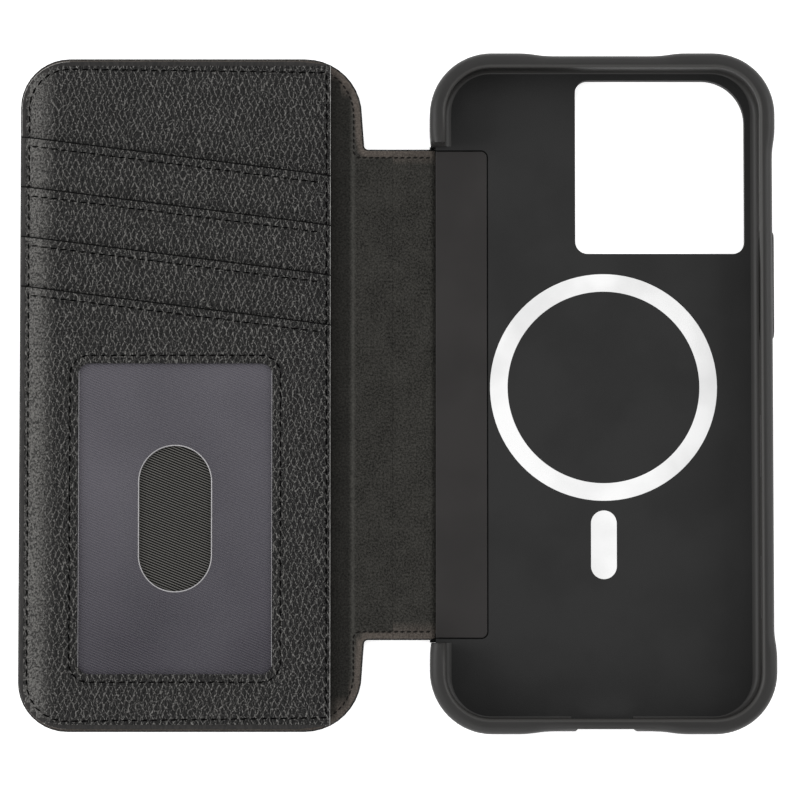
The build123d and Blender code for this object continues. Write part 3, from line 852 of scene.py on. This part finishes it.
# %% [markdown]
# A slot's leather hangs from its mouth, and its height falls from the mouth to the foot. The flat sheet
# is cut from the wallet's outline by its own mouth and foot, cut again wherever it has to bend,
# thickened, and only then laid at its height, so that each panel is a real sheet with the same thickness
# everywhere.

# %% Slot panels
CELL = 2.0 * MM
EDGE_ROUND = 0.30 * MM
MOUTH_CUTS = (0.30 * MM, 0.9 * MM, 1.3 * MM, 4.0 * MM)
PANEL_FINISHES = [wallet_leather, turned_edge, raw_edge_and_highlight, mouth_shade]


def slot_height(points, number):
    """Height of a slot panel's underside."""
    return mouth_z - slope * below_mouth(points, number)


def shape_panel(bm, number, height):
    """Lays a flat panel at its height, with seams, ripple and squeezed border."""
    points = read_points(bm)
    lift = height(points)
    down = below_mouth(points, number) if number is not None else None
    dent = groove(border_distance(points))
    if down is not None:
        dent = np.maximum(dent, groove(np.abs(down - SLOT_SEAM)))
    waves = ripple(points, 3.7 * (number or 0) + 1.3)
    for vert, up, down_by, wave in zip(bm.verts, lift, dent, waves):
        vert.co.z += up - down_by + wave
    squeeze(bm)


def wallet_panel(name, number, foot, height, holes=()):
    """One leather layer of the wallet, from its mouth down to foot, or to the end if foot is None."""
    bm = flat_face([wallet_outline, *holes])
    if number is not None:
        cut(bm, mouth_middle(number), -down_slot, clear=True)
        cut_lines(bm, mouth_middle(number), down_slot, MOUTH_CUTS)
        seam_cuts(bm, mouth_middle(number) + down_slot * SLOT_SEAM, down_slot)
    if foot is not None:
        cut(bm, foot, down_slot, clear=True)
    border_cuts(bm)
    cut_grid(bm, CELL, CELL)
    area = thicken(bm, 0, PANEL, EDGE_ROUND)
    shape_panel(bm, number, height)
    tests = [(1, turned_rim), (2, pale_rim), (2, right_edge)]
    mark_faces(bm, tests if number is None else tests + [(3, turned_mouth(number))])
    piece = finish_piece(name, bm, PANEL_FINISHES)
    paint_sheen(piece)
    as_sheet(piece, area)
    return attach(piece, "cover")


def foot_of(number):
    """A point on the lower end of a slot panel, which the next panel hides."""
    return mouth_middle(number) + down_slot * (pitch + SLOT_HIDDEN)


top_panel = wallet_panel(
    "wallet_top_panel", None, mouth_middle(0) + down_slot * SLOT_HIDDEN,
    lambda points: np.full(len(points), panel_z),
)
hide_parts("top_panel")
for number in range(SLOTS):
    slot_piece = wallet_panel(
        f"wallet_slot_{number + 1}", number, foot_of(number),
        lambda points, number=number: slot_height(points, number),
    )
    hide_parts(f"slot_panel_{number + 1}")

# %% [markdown]
# The lowest panel carries the card window. Its leather is turned in all round the hole, so the hole's
# edge is rounded and a seam runs beside it. It is made like a slot's panel, with the hole as a second
# outline, and dips a little towards the hole because the film there is thinner than the card pocket's own
# leather.

# %% Window panel
WINDOW_SIZE = Vector((44.3, 70.6)) * MM
WINDOW_ROUND = 2.7 * MM
WINDOW_SEAM = 1.8 * MM
FILM_TOP_MARGIN = 0.9 * MM
FOOT_GAP = 0.02 * MM
HOLE_DIP, HOLE_DIP_WIDTH = 0.18 * MM, 2.5 * MM

window_middle = Vector(((film_low.x + film_high.x) / 2, film_high.y - FILM_TOP_MARGIN - WINDOW_SIZE.y / 2))
window_corners = (window_middle - WINDOW_SIZE / 2, window_middle + WINDOW_SIZE / 2)
window_outline = rounded_box(*window_corners, [WINDOW_ROUND] * 4)
foot_z = panel_z + PANEL


def window_height(points):
    """Leaning at the mouth like the slots above, then flat, and dented beside the window."""
    lean = np.maximum(slot_height(points, SLOTS), foot_z + FOOT_GAP)
    near = edge_distance(points[:, :2], window_outline)
    dip = HOLE_DIP * (1 - smooth_step(near, 0, HOLE_DIP_WIDTH))
    return lean - groove(np.abs(near - WINDOW_SEAM)) - dip


def window_panel():
    """The lowest panel, with the window's hole."""
    bm = flat_face([wallet_outline, window_outline])
    cut(bm, mouth_middle(SLOTS), -down_slot, clear=True)
    cut_lines(bm, mouth_middle(SLOTS), down_slot, (*MOUTH_CUTS, SLOT_HIDDEN))
    seam_cuts(bm, mouth_middle(SLOTS) + down_slot * SLOT_SEAM, down_slot)
    low, high = window_corners
    for side in (low.x - WINDOW_SEAM, high.x + WINDOW_SEAM):
        seam_cuts(bm, (side, 0), (1, 0))
    for side in (low.y - WINDOW_SEAM, high.y + WINDOW_SEAM):
        seam_cuts(bm, (0, side), (0, 1))
    border_cuts(bm)
    cut_grid(bm, CELL, CELL)
    area = thicken(bm, 0, PANEL, EDGE_ROUND)
    shape_panel(bm, SLOTS, window_height)
    mark_faces(bm, [(1, turned_rim), (2, pale_rim), (2, right_edge), (3, turned_mouth(SLOTS))])
    piece = finish_piece("wallet_window_panel", bm, PANEL_FINISHES)
    paint_sheen(piece)
    as_sheet(piece, area)
    return piece


window_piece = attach(window_panel(), "cover")
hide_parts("window_panel")

# %% [markdown]
# The thumb hole's edge in the film is heat-sealed, which leaves a pale bead. A curve with a round bevel
# makes a thin tube along the hole's outline, two half circles and two straight sides, and is turned into
# a mesh. The film's own outer edge shows as a finer line inside the leather's hole.

# %% Beads of the film
THUMB_SIZE = Vector((16.6, 33.3)) * MM
BEAD = 0.14 * MM
BEAD_STEPS = 28
EDGE_IN, EDGE_OUT = 0.18 * MM, 0.9 * MM


def bead(name, outline, height, radius):
    """A thin closed tube along an outline."""
    curve = bpy.data.curves.new(name, "CURVE")
    curve.dimensions = "3D"
    curve.bevel_depth = radius
    curve.bevel_resolution = 2
    spline = curve.splines.new("POLY")
    spline.points.add(len(outline) - 1)
    for point, (x, y) in zip(spline.points, outline):
        point.co = (x, y, height, 1)
    spline.use_cyclic_u = True
    shape = bpy.data.objects.new(name + "_line", curve)
    bm = bmesh.new()
    bm.from_mesh(shape.to_mesh())
    bpy.data.objects.remove(shape)
    return bm


thumb_half = THUMB_SIZE / 2
thumb_straight = thumb_half.y - thumb_half.x
thumb_outline = (
    arc((window_middle.x, window_middle.y + thumb_straight), thumb_half.x, 0, 180, BEAD_STEPS)
    + arc((window_middle.x, window_middle.y - thumb_straight), thumb_half.x, 180, 360, BEAD_STEPS)
)
film_edge = rounded_box(
    window_corners[0] + Vector((EDGE_IN, -EDGE_OUT)), window_corners[1] + Vector((-EDGE_IN, EDGE_OUT)),
    [WINDOW_ROUND] * 4,
)
edge_bead = finish_piece("film_edge_bead", bead("edge", film_edge, film_high.z, BEAD / 2), [film_rim])
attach(edge_bead, "cover")
thumb_tube = bead("thumb", thumb_outline, film_high.z - BEAD / 2, BEAD)
thumb_bead = finish_piece("film_thumb_bead", thumb_tube, [film_rim])
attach(thumb_bead, "cover")

# %% [markdown]
# The outer leather is one hide round cover, spine and tray, and the lining follows the same outline a
# little inside. Here each is two pieces that meet in the middle of the spine, where neither bends. Close
# cuts along a fold let it curve, not crease.

# %% Outline of cover and spine
COVER_FREE, COVER_SPINE = 11.2 * MM, 13.0 * MM
INNER_CORNER = 0.9 * MM
FLARE = 0.5 * MM
LEATHER_TOP = 2.0 * MM
LINING_INSET = 0.35 * MM
RIM_WIDTH = 1.7 * MM
CORNER_STEPS = 5
BEND = 4.0 * MM
spine_half = spine_high.y


def cover_and_spine(inset=0.0, end_x=spine_middle):
    """Outline of the cover and the near part of the spine up to end_x, inset all round but there."""
    left, right = cover_low.x + inset, cover_high.x - inset
    half, end = cover_high.y - inset, spine_half - inset
    free, round_by = COVER_FREE - inset, COVER_SPINE - inset
    inner = INNER_CORNER + inset
    upper = (
        arc((right + FLARE + inner, end + inner), inner, 270, 180, CORNER_STEPS)
        + arc((right - round_by, half - round_by), round_by, 0, 90)
        + arc((left + free, half - free), free, 90, 180)
    )
    lower = [(x, -y) for x, y in reversed(upper)]
    return [(end_x, -end), (end_x, end)] + upper + lower


def fold_cuts(bm, x, reach=BEND, count=13):
    """Close cuts along a fold, so that the sheet bends in a curve."""
    for share in np.linspace(-1, 1, count):
        cut(bm, (x + reach * share, 0), (1, 0))


def add_rim(piece, outline, width):
    """Stores how near each point is to a sewn edge, 1 at the edge and 0 further in than width."""
    points = np.array([v.co for v in piece.data.vertices])
    near = edge_distance(points[:, :2], outline)
    mark(piece, "rim", 1 - smooth_step(near, width * 0.75, width * 1.25))


print("cover and spine are drawn with", len(cover_and_spine()), "points")

# %% [markdown]
# The cover's leather wraps the stiff board and is turned in all round, so its edge is as round as the
# cover is thick. One thick sheet stands for leather and board together, because only its outside is ever
# seen. It stops in the middle of the spine.

# %% Outer leather of the cover
HIDE_CUTS = (6 * MM, 8 * MM)
COVER_ROUND = 0.75 * MM


def cover_leather():
    """The hide of the cover and of the near half of the spine."""
    bm = flat_face([cover_and_spine()])
    fold_cuts(bm, cover_fold.x)
    cut_grid(bm, *HIDE_CUTS)
    area = thicken(bm, cover_low.z, LEATHER_TOP, COVER_ROUND, 4)
    piece = finish_piece("outer_leather_cover", bm, [outer_leather])
    keep_flat_places(piece)
    as_sheet(piece, area)
    return piece


cover_skin = cover_leather()
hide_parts("cover_leather", "cover_board")
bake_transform(cover_skin)

# %% [markdown]
# On the tray's side the hide thins from the spine's full thickness to one layer glued behind the plate.
# It fills the plate's outline, and is cut out round the camera window, where a trim ring hides the edge.
# The window has three small corners and a big one, and the hole in the leather follows the trim ring's
# outside.

# %% Outer leather of the tray
BACK_ROUND = 12.6 * MM
BEZEL_SMALL, BEZEL_BIG = 4.4 * MM, 11.4 * MM
THIN_FROM, THIN_TO = 0.4 * MM, 0.75 * MM
WALL_END_X, WALL_END_Y = 7.7 * MM, 56.55 * MM
TRAY_BEND_SHIFT, TRAY_BEND_REACH = 1.5 * MM, 3.0 * MM
THIN_START = -0.6 * MM
TRAY_ROUND = 0.3 * MM


def tray_and_spine():
    """Outline of the far half of the spine and the tray's back."""
    upper = (
        [(WALL_END_X, spine_half), (WALL_END_X, WALL_END_Y), (back_low.x, WALL_END_Y)]
        + arc((back_low.x + BACK_ROUND, back_high.y - BACK_ROUND), BACK_ROUND, 180, 90)
        + arc((back_high.x - BACK_ROUND, back_high.y - BACK_ROUND), BACK_ROUND, 90, 0)
    )
    lower = [(x, -y) for x, y in reversed(upper)]
    return [(spine_middle, -spine_half), (spine_middle, spine_half)] + upper + lower


def tray_leather():
    """The hide of the tray's back and of the far half of the spine."""
    bezel = rounded_box(
        (bezel_low.x, bezel_low.y), (bezel_high.x, bezel_high.y),
        [BEZEL_SMALL, BEZEL_SMALL, BEZEL_BIG, BEZEL_SMALL],
    )
    bm = flat_face([tray_and_spine(), bezel])
    fold_cuts(bm, tray_fold.x - TRAY_BEND_SHIFT, TRAY_BEND_REACH)
    for x in (tray_fold.x + THIN_FROM, tray_fold.x + THIN_TO):
        cut(bm, (x, 0), (1, 0))
    cut_grid(bm, *HIDE_CUTS)
    area = thicken(bm, back_low.z, LEATHER_TOP, TRAY_ROUND)
    for vert in bm.verts:
        share = smooth_step(vert.co.x - tray_fold.x, THIN_START, THIN_FROM)
        top = LEATHER_TOP + (back_high.z - LEATHER_TOP) * share
        vert.co.z *= top / LEATHER_TOP
    piece = finish_piece("outer_leather_tray", bm, [outer_leather])
    keep_flat_places(piece)
    as_sheet(piece, area)
    return piece


tray_skin = tray_leather()
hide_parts("back_leather", "spine_leather", "spine_board")
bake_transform(tray_skin)

# %% [markdown]
# The lining is a thinner sheet on top. It shows a fine raised line where it has been folded many times,
# which is a bell curve added to its height, faded out before the sewn ends. At the tray it dips under the
# strip that clamps it. The attributes for its finish are measured here: sewn rim, the fold that is
# painted paler as highlight, and the cover's side that is painted darker as shade.

# %% Lining
CREASE_HIGH, CREASE_WIDE = 0.16 * MM, 0.45 * MM
LINING_STEP = 0.02 * MM
LINING_ROUND = 0.1 * MM
LINING_CELL = 4 * MM
RIM_CUTS = (1.3 * MM, 2.2 * MM)
CREASE_FADE, CREASE_END = 6 * MM, 2 * MM
SHADE_WIDTH = 1.2 * MM
CLAMPED = 0.15 * MM
DIP_FROM = 0.3 * MM
BEYOND = 1.0


def crease(x):
    """The raised line that folding has left in the lining."""
    return CREASE_HIGH * np.exp(-(((x - cover_fold.x) / CREASE_WIDE) ** 2))


def cover_lining():
    """The lining of the cover and of the near half of the spine."""
    outline = cover_and_spine(LINING_INSET)
    bm = flat_face([outline])
    fold_cuts(bm, cover_fold.x)
    fold_cuts(bm, cover_fold.x, SHADE_WIDTH, 9)
    for inset in RIM_CUTS:
        for side in (-1, 1):
            cut(bm, (0, side * (spine_half - inset)), (0, 1))
    cut_grid(bm, LINING_CELL, LINING_CELL)
    area = thicken(bm, LEATHER_TOP + LINING_STEP, lining_high.z, LINING_ROUND, 2)
    for vert in bm.verts:
        fade = 1 - smooth_step(abs(vert.co.y), spine_half - CREASE_FADE, spine_half - CREASE_END)
        vert.co.z += crease(vert.co.x) * fade
    piece = finish_piece("lining_cover", bm, [lining_cloth])
    as_sheet(piece, area)
    add_rim(piece, cover_and_spine(end_x=BEYOND), RIM_WIDTH)
    across = np.array([v.co.x for v in piece.data.vertices])
    # fold: where the lining is painted paler, a painted highlight on its raised line
    mark(piece, "fold", crease(across) / CREASE_HIGH)
    # shade: the cover's side of the fold, painted darker where the wallet's edge shadows it
    mark(piece, "shade", 1 - smooth_step(across, cover_fold.x - SHADE_WIDTH, cover_fold.x))
    return piece


def tray_lining():
    """The lining of the far half of the spine, and its tail under the strip."""
    half, tail = spine_half - LINING_INSET, tail_high.y
    start = strip_low.x - CLAMPED
    outline = [(spine_middle, -half), (start, -half), (start, -tail), (tail_high.x, -tail)]
    outline += [(x, -y) for x, y in reversed(outline)]
    bm = flat_face([outline])
    fold_cuts(bm, tray_fold.x - TRAY_BEND_SHIFT, TRAY_BEND_REACH)
    cut_grid(bm, LINING_CELL, LINING_CELL)
    area = thicken(bm, LEATHER_TOP + LINING_STEP, lining_high.z, LINING_ROUND, 2)
    drop = LEATHER_TOP + LINING_STEP - tail_low.z
    for vert in bm.verts:
        vert.co.z -= drop * smooth_step(vert.co.x, tray_fold.x - DIP_FROM, start)
    piece = finish_piece("lining_tray", bm, [lining_cloth])
    as_sheet(piece, area)
    ends = [(-BEYOND, spine_half), (BEYOND, spine_half), (BEYOND, -spine_half), (-BEYOND, -spine_half)]
    add_rim(piece, ends, RIM_WIDTH)
    return piece


lining_a = cover_lining()
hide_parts("cover_lining")
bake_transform(lining_a)
lining_b = tray_lining()
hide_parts("spine_lining", "lining_tail")
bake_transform(lining_b)

# %% [markdown]
# A lockstitch shows as a row of short thread loops, each dipping into the leather at both ends. Every
# loop is one small squashed ball laid along the seam and turned a little, as a twisted thread lies. A ray
# dropped on the leather tells how high each one sits. All rows on the wallet are one object, since they
# move as one.

# %% Stitches
STITCH_PITCH = 2.25 * MM
STITCH_LONG, STITCH_WIDE, STITCH_HIGH = 1.75 * MM, 0.42 * MM, 0.28 * MM
STITCH_TURN = radians(6)
LOOP_AROUND, LOOP_ALONG = 8, 6


def along_path(path, spacing):
    """Evenly spaced places on a path and the direction there, from half a stitch in."""
    path = [Vector(p) for p in path]
    runs = [(a, b, (b - a).length) for a, b in zip(path, path[1:])]
    total = sum(length for _, _, length in runs)
    count = max(1, round(total / spacing))
    for i in range(count):
        left = (i + 0.5) * total / count
        for a, b, length in runs:
            if left <= length:
                break
            left -= length
        yield a.lerp(b, min(1, left / length)), (b - a).normalized()


def sew(bm, path, height, shrink=1.0):
    """Adds stitches along a path. height gives the leather's surface at a point."""
    reach = STITCH_LONG / 2 * shrink
    for place, direction in along_path(path, STITCH_PITCH * shrink):
        ahead = height(place.x + direction.x * reach, place.y + direction.y * reach)
        behind = height(place.x - direction.x * reach, place.y - direction.y * reach)
        rise = Vector((direction.x * reach * 2, direction.y * reach * 2, ahead - behind))
        turned = Matrix.Rotation(STITCH_TURN, 4, "Z") @ rise.to_track_quat("X", "Z").to_matrix().to_4x4()
        size = Matrix.Diagonal((reach * 2, STITCH_WIDE, STITCH_HIGH, 1))
        spot = Matrix.Translation((place.x, place.y, (ahead + behind) / 2))
        bmesh.ops.create_uvsphere(
            bm, u_segments=LOOP_AROUND, v_segments=LOOP_ALONG, radius=0.5, matrix=spot @ turned @ size,
        )


def surface_reader(*pieces):
    """A function that gives the top of these pieces at a point, by dropping a ray on each."""
    bpy.context.view_layer.update()
    above = 100 * MM

    def height(x, y):
        best = 0.0
        for piece in pieces:
            hit, spot = piece.ray_cast((x, y, above), (0, 0, -1))[:2]
            if hit:
                best = max(best, spot.z)
        return best

    return height


wallet_pieces = [bpy.data.objects[n] for n in (
    "wallet_top_panel", "wallet_slot_1", "wallet_slot_2", "wallet_slot_3", "wallet_window_panel")]
wallet_surface = surface_reader(*wallet_pieces)
seam_outline = (
    [(wallet_right - SEAM_IN / 2, wallet_half - SEAM_IN - TIP_DROP)]
    + arc((wallet_left + FREE_ROUND, wallet_half - FREE_ROUND), FREE_ROUND - SEAM_IN, 90, 180)
    + arc((wallet_left + FREE_ROUND, -wallet_half + FREE_ROUND), FREE_ROUND - SEAM_IN, 180, 270)
    + [(wallet_right - SEAM_IN / 2, -wallet_half + SEAM_IN + TIP_DROP)]
)
window_seam = rounded_box(
    window_corners[0] - Vector((WINDOW_SEAM, WINDOW_SEAM)),
    window_corners[1] + Vector((WINDOW_SEAM, WINDOW_SEAM)),
    [WINDOW_ROUND + WINDOW_SEAM] * 4,
)

bm = bmesh.new()
sew(bm, seam_outline + seam_outline[:1], wallet_surface)
sew(bm, window_seam + window_seam[:1], wallet_surface)
for mouth in mouths:
    middle = Vector((wallet_x, mouth)) + down_slot * SLOT_SEAM
    reach = (half_width - SEAM_IN * 1.3) / cos(SLOT_ANGLE)
    sew(bm, [middle - along_slot * reach, middle + along_slot * reach], wallet_surface)
wallet_stitches = finish_piece("wallet_stitches", bm, [thread], 180)
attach(wallet_stitches, "cover")

# %% [markdown]
# The spine's lining is sewn to the leather along both ends, with finer stitches that run on round the
# cover's corners. Those rows cross both folds, so they are made in two halves, one on each sheet that
# they hold.

# %% Stitches of the lining
LINING_SEAM = 1.9 * MM
LINING_STITCH = 0.62
SEAM_TURN = 1.6 * MM
SEAM_END = 62
lining_surface = surface_reader(lining_a, lining_b)


def lining_stitches(name, x_from, x_to, ears):
    """Rows along both ends of the spine, which with ears run on round the cover's corners."""
    bm = bmesh.new()
    y = spine_half - LINING_SEAM
    row = [(x_to, y), (x_from + SEAM_TURN, y)]
    if ears:
        row += arc((x_from + SEAM_TURN, y + SEAM_TURN), SEAM_TURN, 270, 180, CORNER_STEPS)
        corner = (cover_high.x - COVER_SPINE, cover_high.y - COVER_SPINE)
        row += arc(corner, COVER_SPINE - LINING_SEAM, 0, SEAM_END)
    for side in (-1, 1):
        sew(bm, [(px, side * py) for px, py in row], lining_surface, LINING_STITCH)
    return finish_piece(name, bm, [lining_thread], 180)


cover_rows = lining_stitches("lining_stitches_cover", cover_high.x - LINING_SEAM, spine_middle, True)
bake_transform(cover_rows)
tray_rows = lining_stitches(
    "lining_stitches_tray", spine_middle - SEAM_TURN, tray_fold.x - DIP_FROM, False,
)
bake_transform(tray_rows)

# %% [markdown]
# The bumper's shape is already right in CAD. Its mesh is loose triangles, so a copy has its points joined
# and is shaded smooth, which makes one soft skin of it. The inside of its wall, next to the phone, is
# marked to be painted paler, a painted highlight on a face that stands in shade. The phone is a common
# flat-sided one, and its size sets the inside of the bumper.

# %% Bumper
PHONE_SIZE = Vector((71.7, 147.7)) * MM
PHONE_CORNER = 10.6 * MM
CAD_JOIN = 0.002 * MM
SKIN_ANGLE = 35
HIGHLIGHT_FULL, HIGHLIGHT_TO = 0.2 * MM, 0.5 * MM

bumper_low, bumper_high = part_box("bumper_frame")
case_middle = Vector(((bumper_low.x + bumper_high.x) / 2, 0))


def phone_outline(inset_x, inset_y):
    """The phone's outline, made smaller by an inset across and an inset along."""
    half = PHONE_SIZE / 2 - Vector((inset_x, inset_y))
    return rounded_box(case_middle - half, case_middle + half, [PHONE_CORNER - inset_x] * 4)


def smooth_copy(node, name, material, angle):
    """A copy of a CAD part with its points joined and its shading smooth."""
    bm = bmesh.new()
    bm.from_mesh(frame["nodes"][node].data)
    bmesh.ops.remove_doubles(bm, verts=bm.verts[:], dist=CAD_JOIN)
    bmesh.ops.recalc_face_normals(bm, faces=bm.faces[:])
    for face in bm.faces:
        face.material_index = 0
    piece = finish_piece(name, bm, [material], angle)
    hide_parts(node)
    return piece


bumper = smooth_copy("bumper_frame", "soft_bumper", bumper_plastic, SKIN_ANGLE)
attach(bumper, "case")
bumper_points = np.array([v.co for v in bumper.data.vertices])
from_phone = edge_distance(bumper_points[:, :2], phone_outline(0, 0))
# The inside of the wall is marked for a painted highlight.
mark(bumper, "wall_highlight", 1 - smooth_step(from_phone, HIGHLIGHT_FULL, HIGHLIGHT_TO))
button = smooth_copy("side_button", "power_button_cap", bumper_plastic, SKIN_ANGLE)
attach(button, "button")

# %% [markdown]
# Inside, the bumper's wall does not meet the tray's floor in a sharp corner. A small cove leads from one
# to the other and catches the light, wider along the sides than at the ends. It is a row of rings round
# the phone's outline, each a step higher and further out, bridged in turn. It is cut away where the wall
# is open: beside the spine, and at the charging port.

# %% Cove
COVE = 1.7 * MM
END_SHARE = 0.35
COVE_STEPS = 6
GATE_HALF = 56.6 * MM
PORT_HALF = 7.0 * MM
COVE_SUNK = 0.05 * MM
COVE_HIGHLIGHT = 0.3

plate_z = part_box("back_shell")[1].z


def ring(bm, inset, height):
    """A closed ring of edges round the phone's outline."""
    verts = [bm.verts.new((x, y, height)) for x, y in phone_outline(inset, inset * END_SHARE)]
    return [bm.edges.new(pair) for pair in zip(verts, verts[1:] + verts[:1])]


bm = bmesh.new()
turns = [radians(90) * i / COVE_STEPS for i in range(COVE_STEPS + 1)]
rings = [ring(bm, COVE * (1 - sin(a)), plate_z + COVE * (1 - cos(a))) for a in turns]
rings.append(ring(bm, -COVE_SUNK, plate_z - COVE_SUNK))
for first, second in zip(rings, rings[1:] + rings[:1]):
    bmesh.ops.bridge_loops(bm, edges=first + second)
spine_opening = (bumper_low.x, case_middle.x - PHONE_SIZE.x / 4, -GATE_HALF, GATE_HALF)
port_opening = (case_middle.x - PORT_HALF, case_middle.x + PORT_HALF, bumper_low.y, 0)
for x_low, x_high, y_low, y_high in (spine_opening, port_opening):
    for side in ((x_low, 0, 1, 0), (x_high, 0, 1, 0), (0, y_low, 0, 1), (0, y_high, 0, 1)):
        cut(bm, side[:2], side[2:])
    middles = [(face, face.calc_center_median()) for face in bm.faces]
    opening = [face for face, spot in middles if x_low < spot.x < x_high and y_low < spot.y < y_high]
    bmesh.ops.delete(bm, geom=opening, context="FACES")
bmesh.ops.holes_fill(bm, edges=[edge for edge in bm.edges if edge.is_boundary])
bmesh.ops.recalc_face_normals(bm, faces=bm.faces[:])
cove = finish_piece("bumper_cove", bm, [bumper_plastic])
# The cove is painted part way paler too, a painted highlight.
mark(cove, "wall_highlight", np.full(len(cove.data.vertices), COVE_HIGHLIGHT))
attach(cove, "case")

# %% [markdown]
# The other CAD parts keep their shape and only get their finish, in the material slots that they already
# have. Parts that a leather or plastic piece stands in for get a finish too, most of them the same as
# that piece's, so that nothing is left plain if the two are ever shown side by side.

# %% Finishes of the CAD parts
def paint(node, material):
    """Puts a finish in every material slot of a CAD part."""
    materials = frame["nodes"][node].data.materials
    if not materials:
        materials.append(material)
    for slot in range(len(materials)):
        materials[slot] = material


finishes = {
    "back_shell": tray_plastic, "clamp_strip": strip_plastic, "camera_bezel": strip_plastic,
    "ring_label": white_label, "bar_label": white_label, "ring_magnets": magnet_metal,
    "bar_magnets": magnet_metal, "frame_keepers": keeper_steel, "cover_magnets": magnet_metal,
    "cover_board": stiff_board, "spine_board": stiff_board, "window_film": clear_film,
    "id_pocket_lining": pocket_twill, "wallet_backing": pocket_twill, "slot_lining_1": pocket_twill,
    "slot_lining_2": pocket_twill, "slot_lining_3": pocket_twill,
    "bumper_frame": bumper_plastic, "side_button": bumper_plastic,
    "back_leather": wallet_leather, "spine_leather": wallet_leather, "cover_leather": wallet_leather,
    "cover_lining": lining_cloth, "spine_lining": lining_cloth, "lining_tail": lining_cloth,
    "top_panel": wallet_leather, "slot_panel_1": wallet_leather, "slot_panel_2": wallet_leather,
    "slot_panel_3": wallet_leather, "window_panel": wallet_leather,
}
for node, material in finishes.items():
    paint(node, material)
print(len(finishes), "of", len(frame["nodes"]), "CAD parts finished")

# %% [markdown]
# The floor is stage, not object. It is a wide plane just under the case, almost white. It gives off a
# little light of its own, because a white table in a studio is lit from below to look even.

# %% Floor
FLOOR = 6.0
FLOOR_GAP = 0.2 * MM
FLOOR_GLOW = 0.60

bm = bmesh.new()
bmesh.ops.create_grid(bm, x_segments=2, y_segments=2, size=FLOOR / 2)
bmesh.ops.translate(bm, verts=bm.verts[:], vec=(0, 0, cad_box[0][2] - FLOOR_GAP))
floor_finish = Finish("floor", (0.93, 0.93, 0.93), 0.9, specular_ior_level=0.1)
floor_finish.set("Emission Color", (1, 1, 1, 1))
floor_finish.set("Emission Strength", FLOOR_GLOW)
floor = finish_piece("floor", bm, [floor_finish.material])
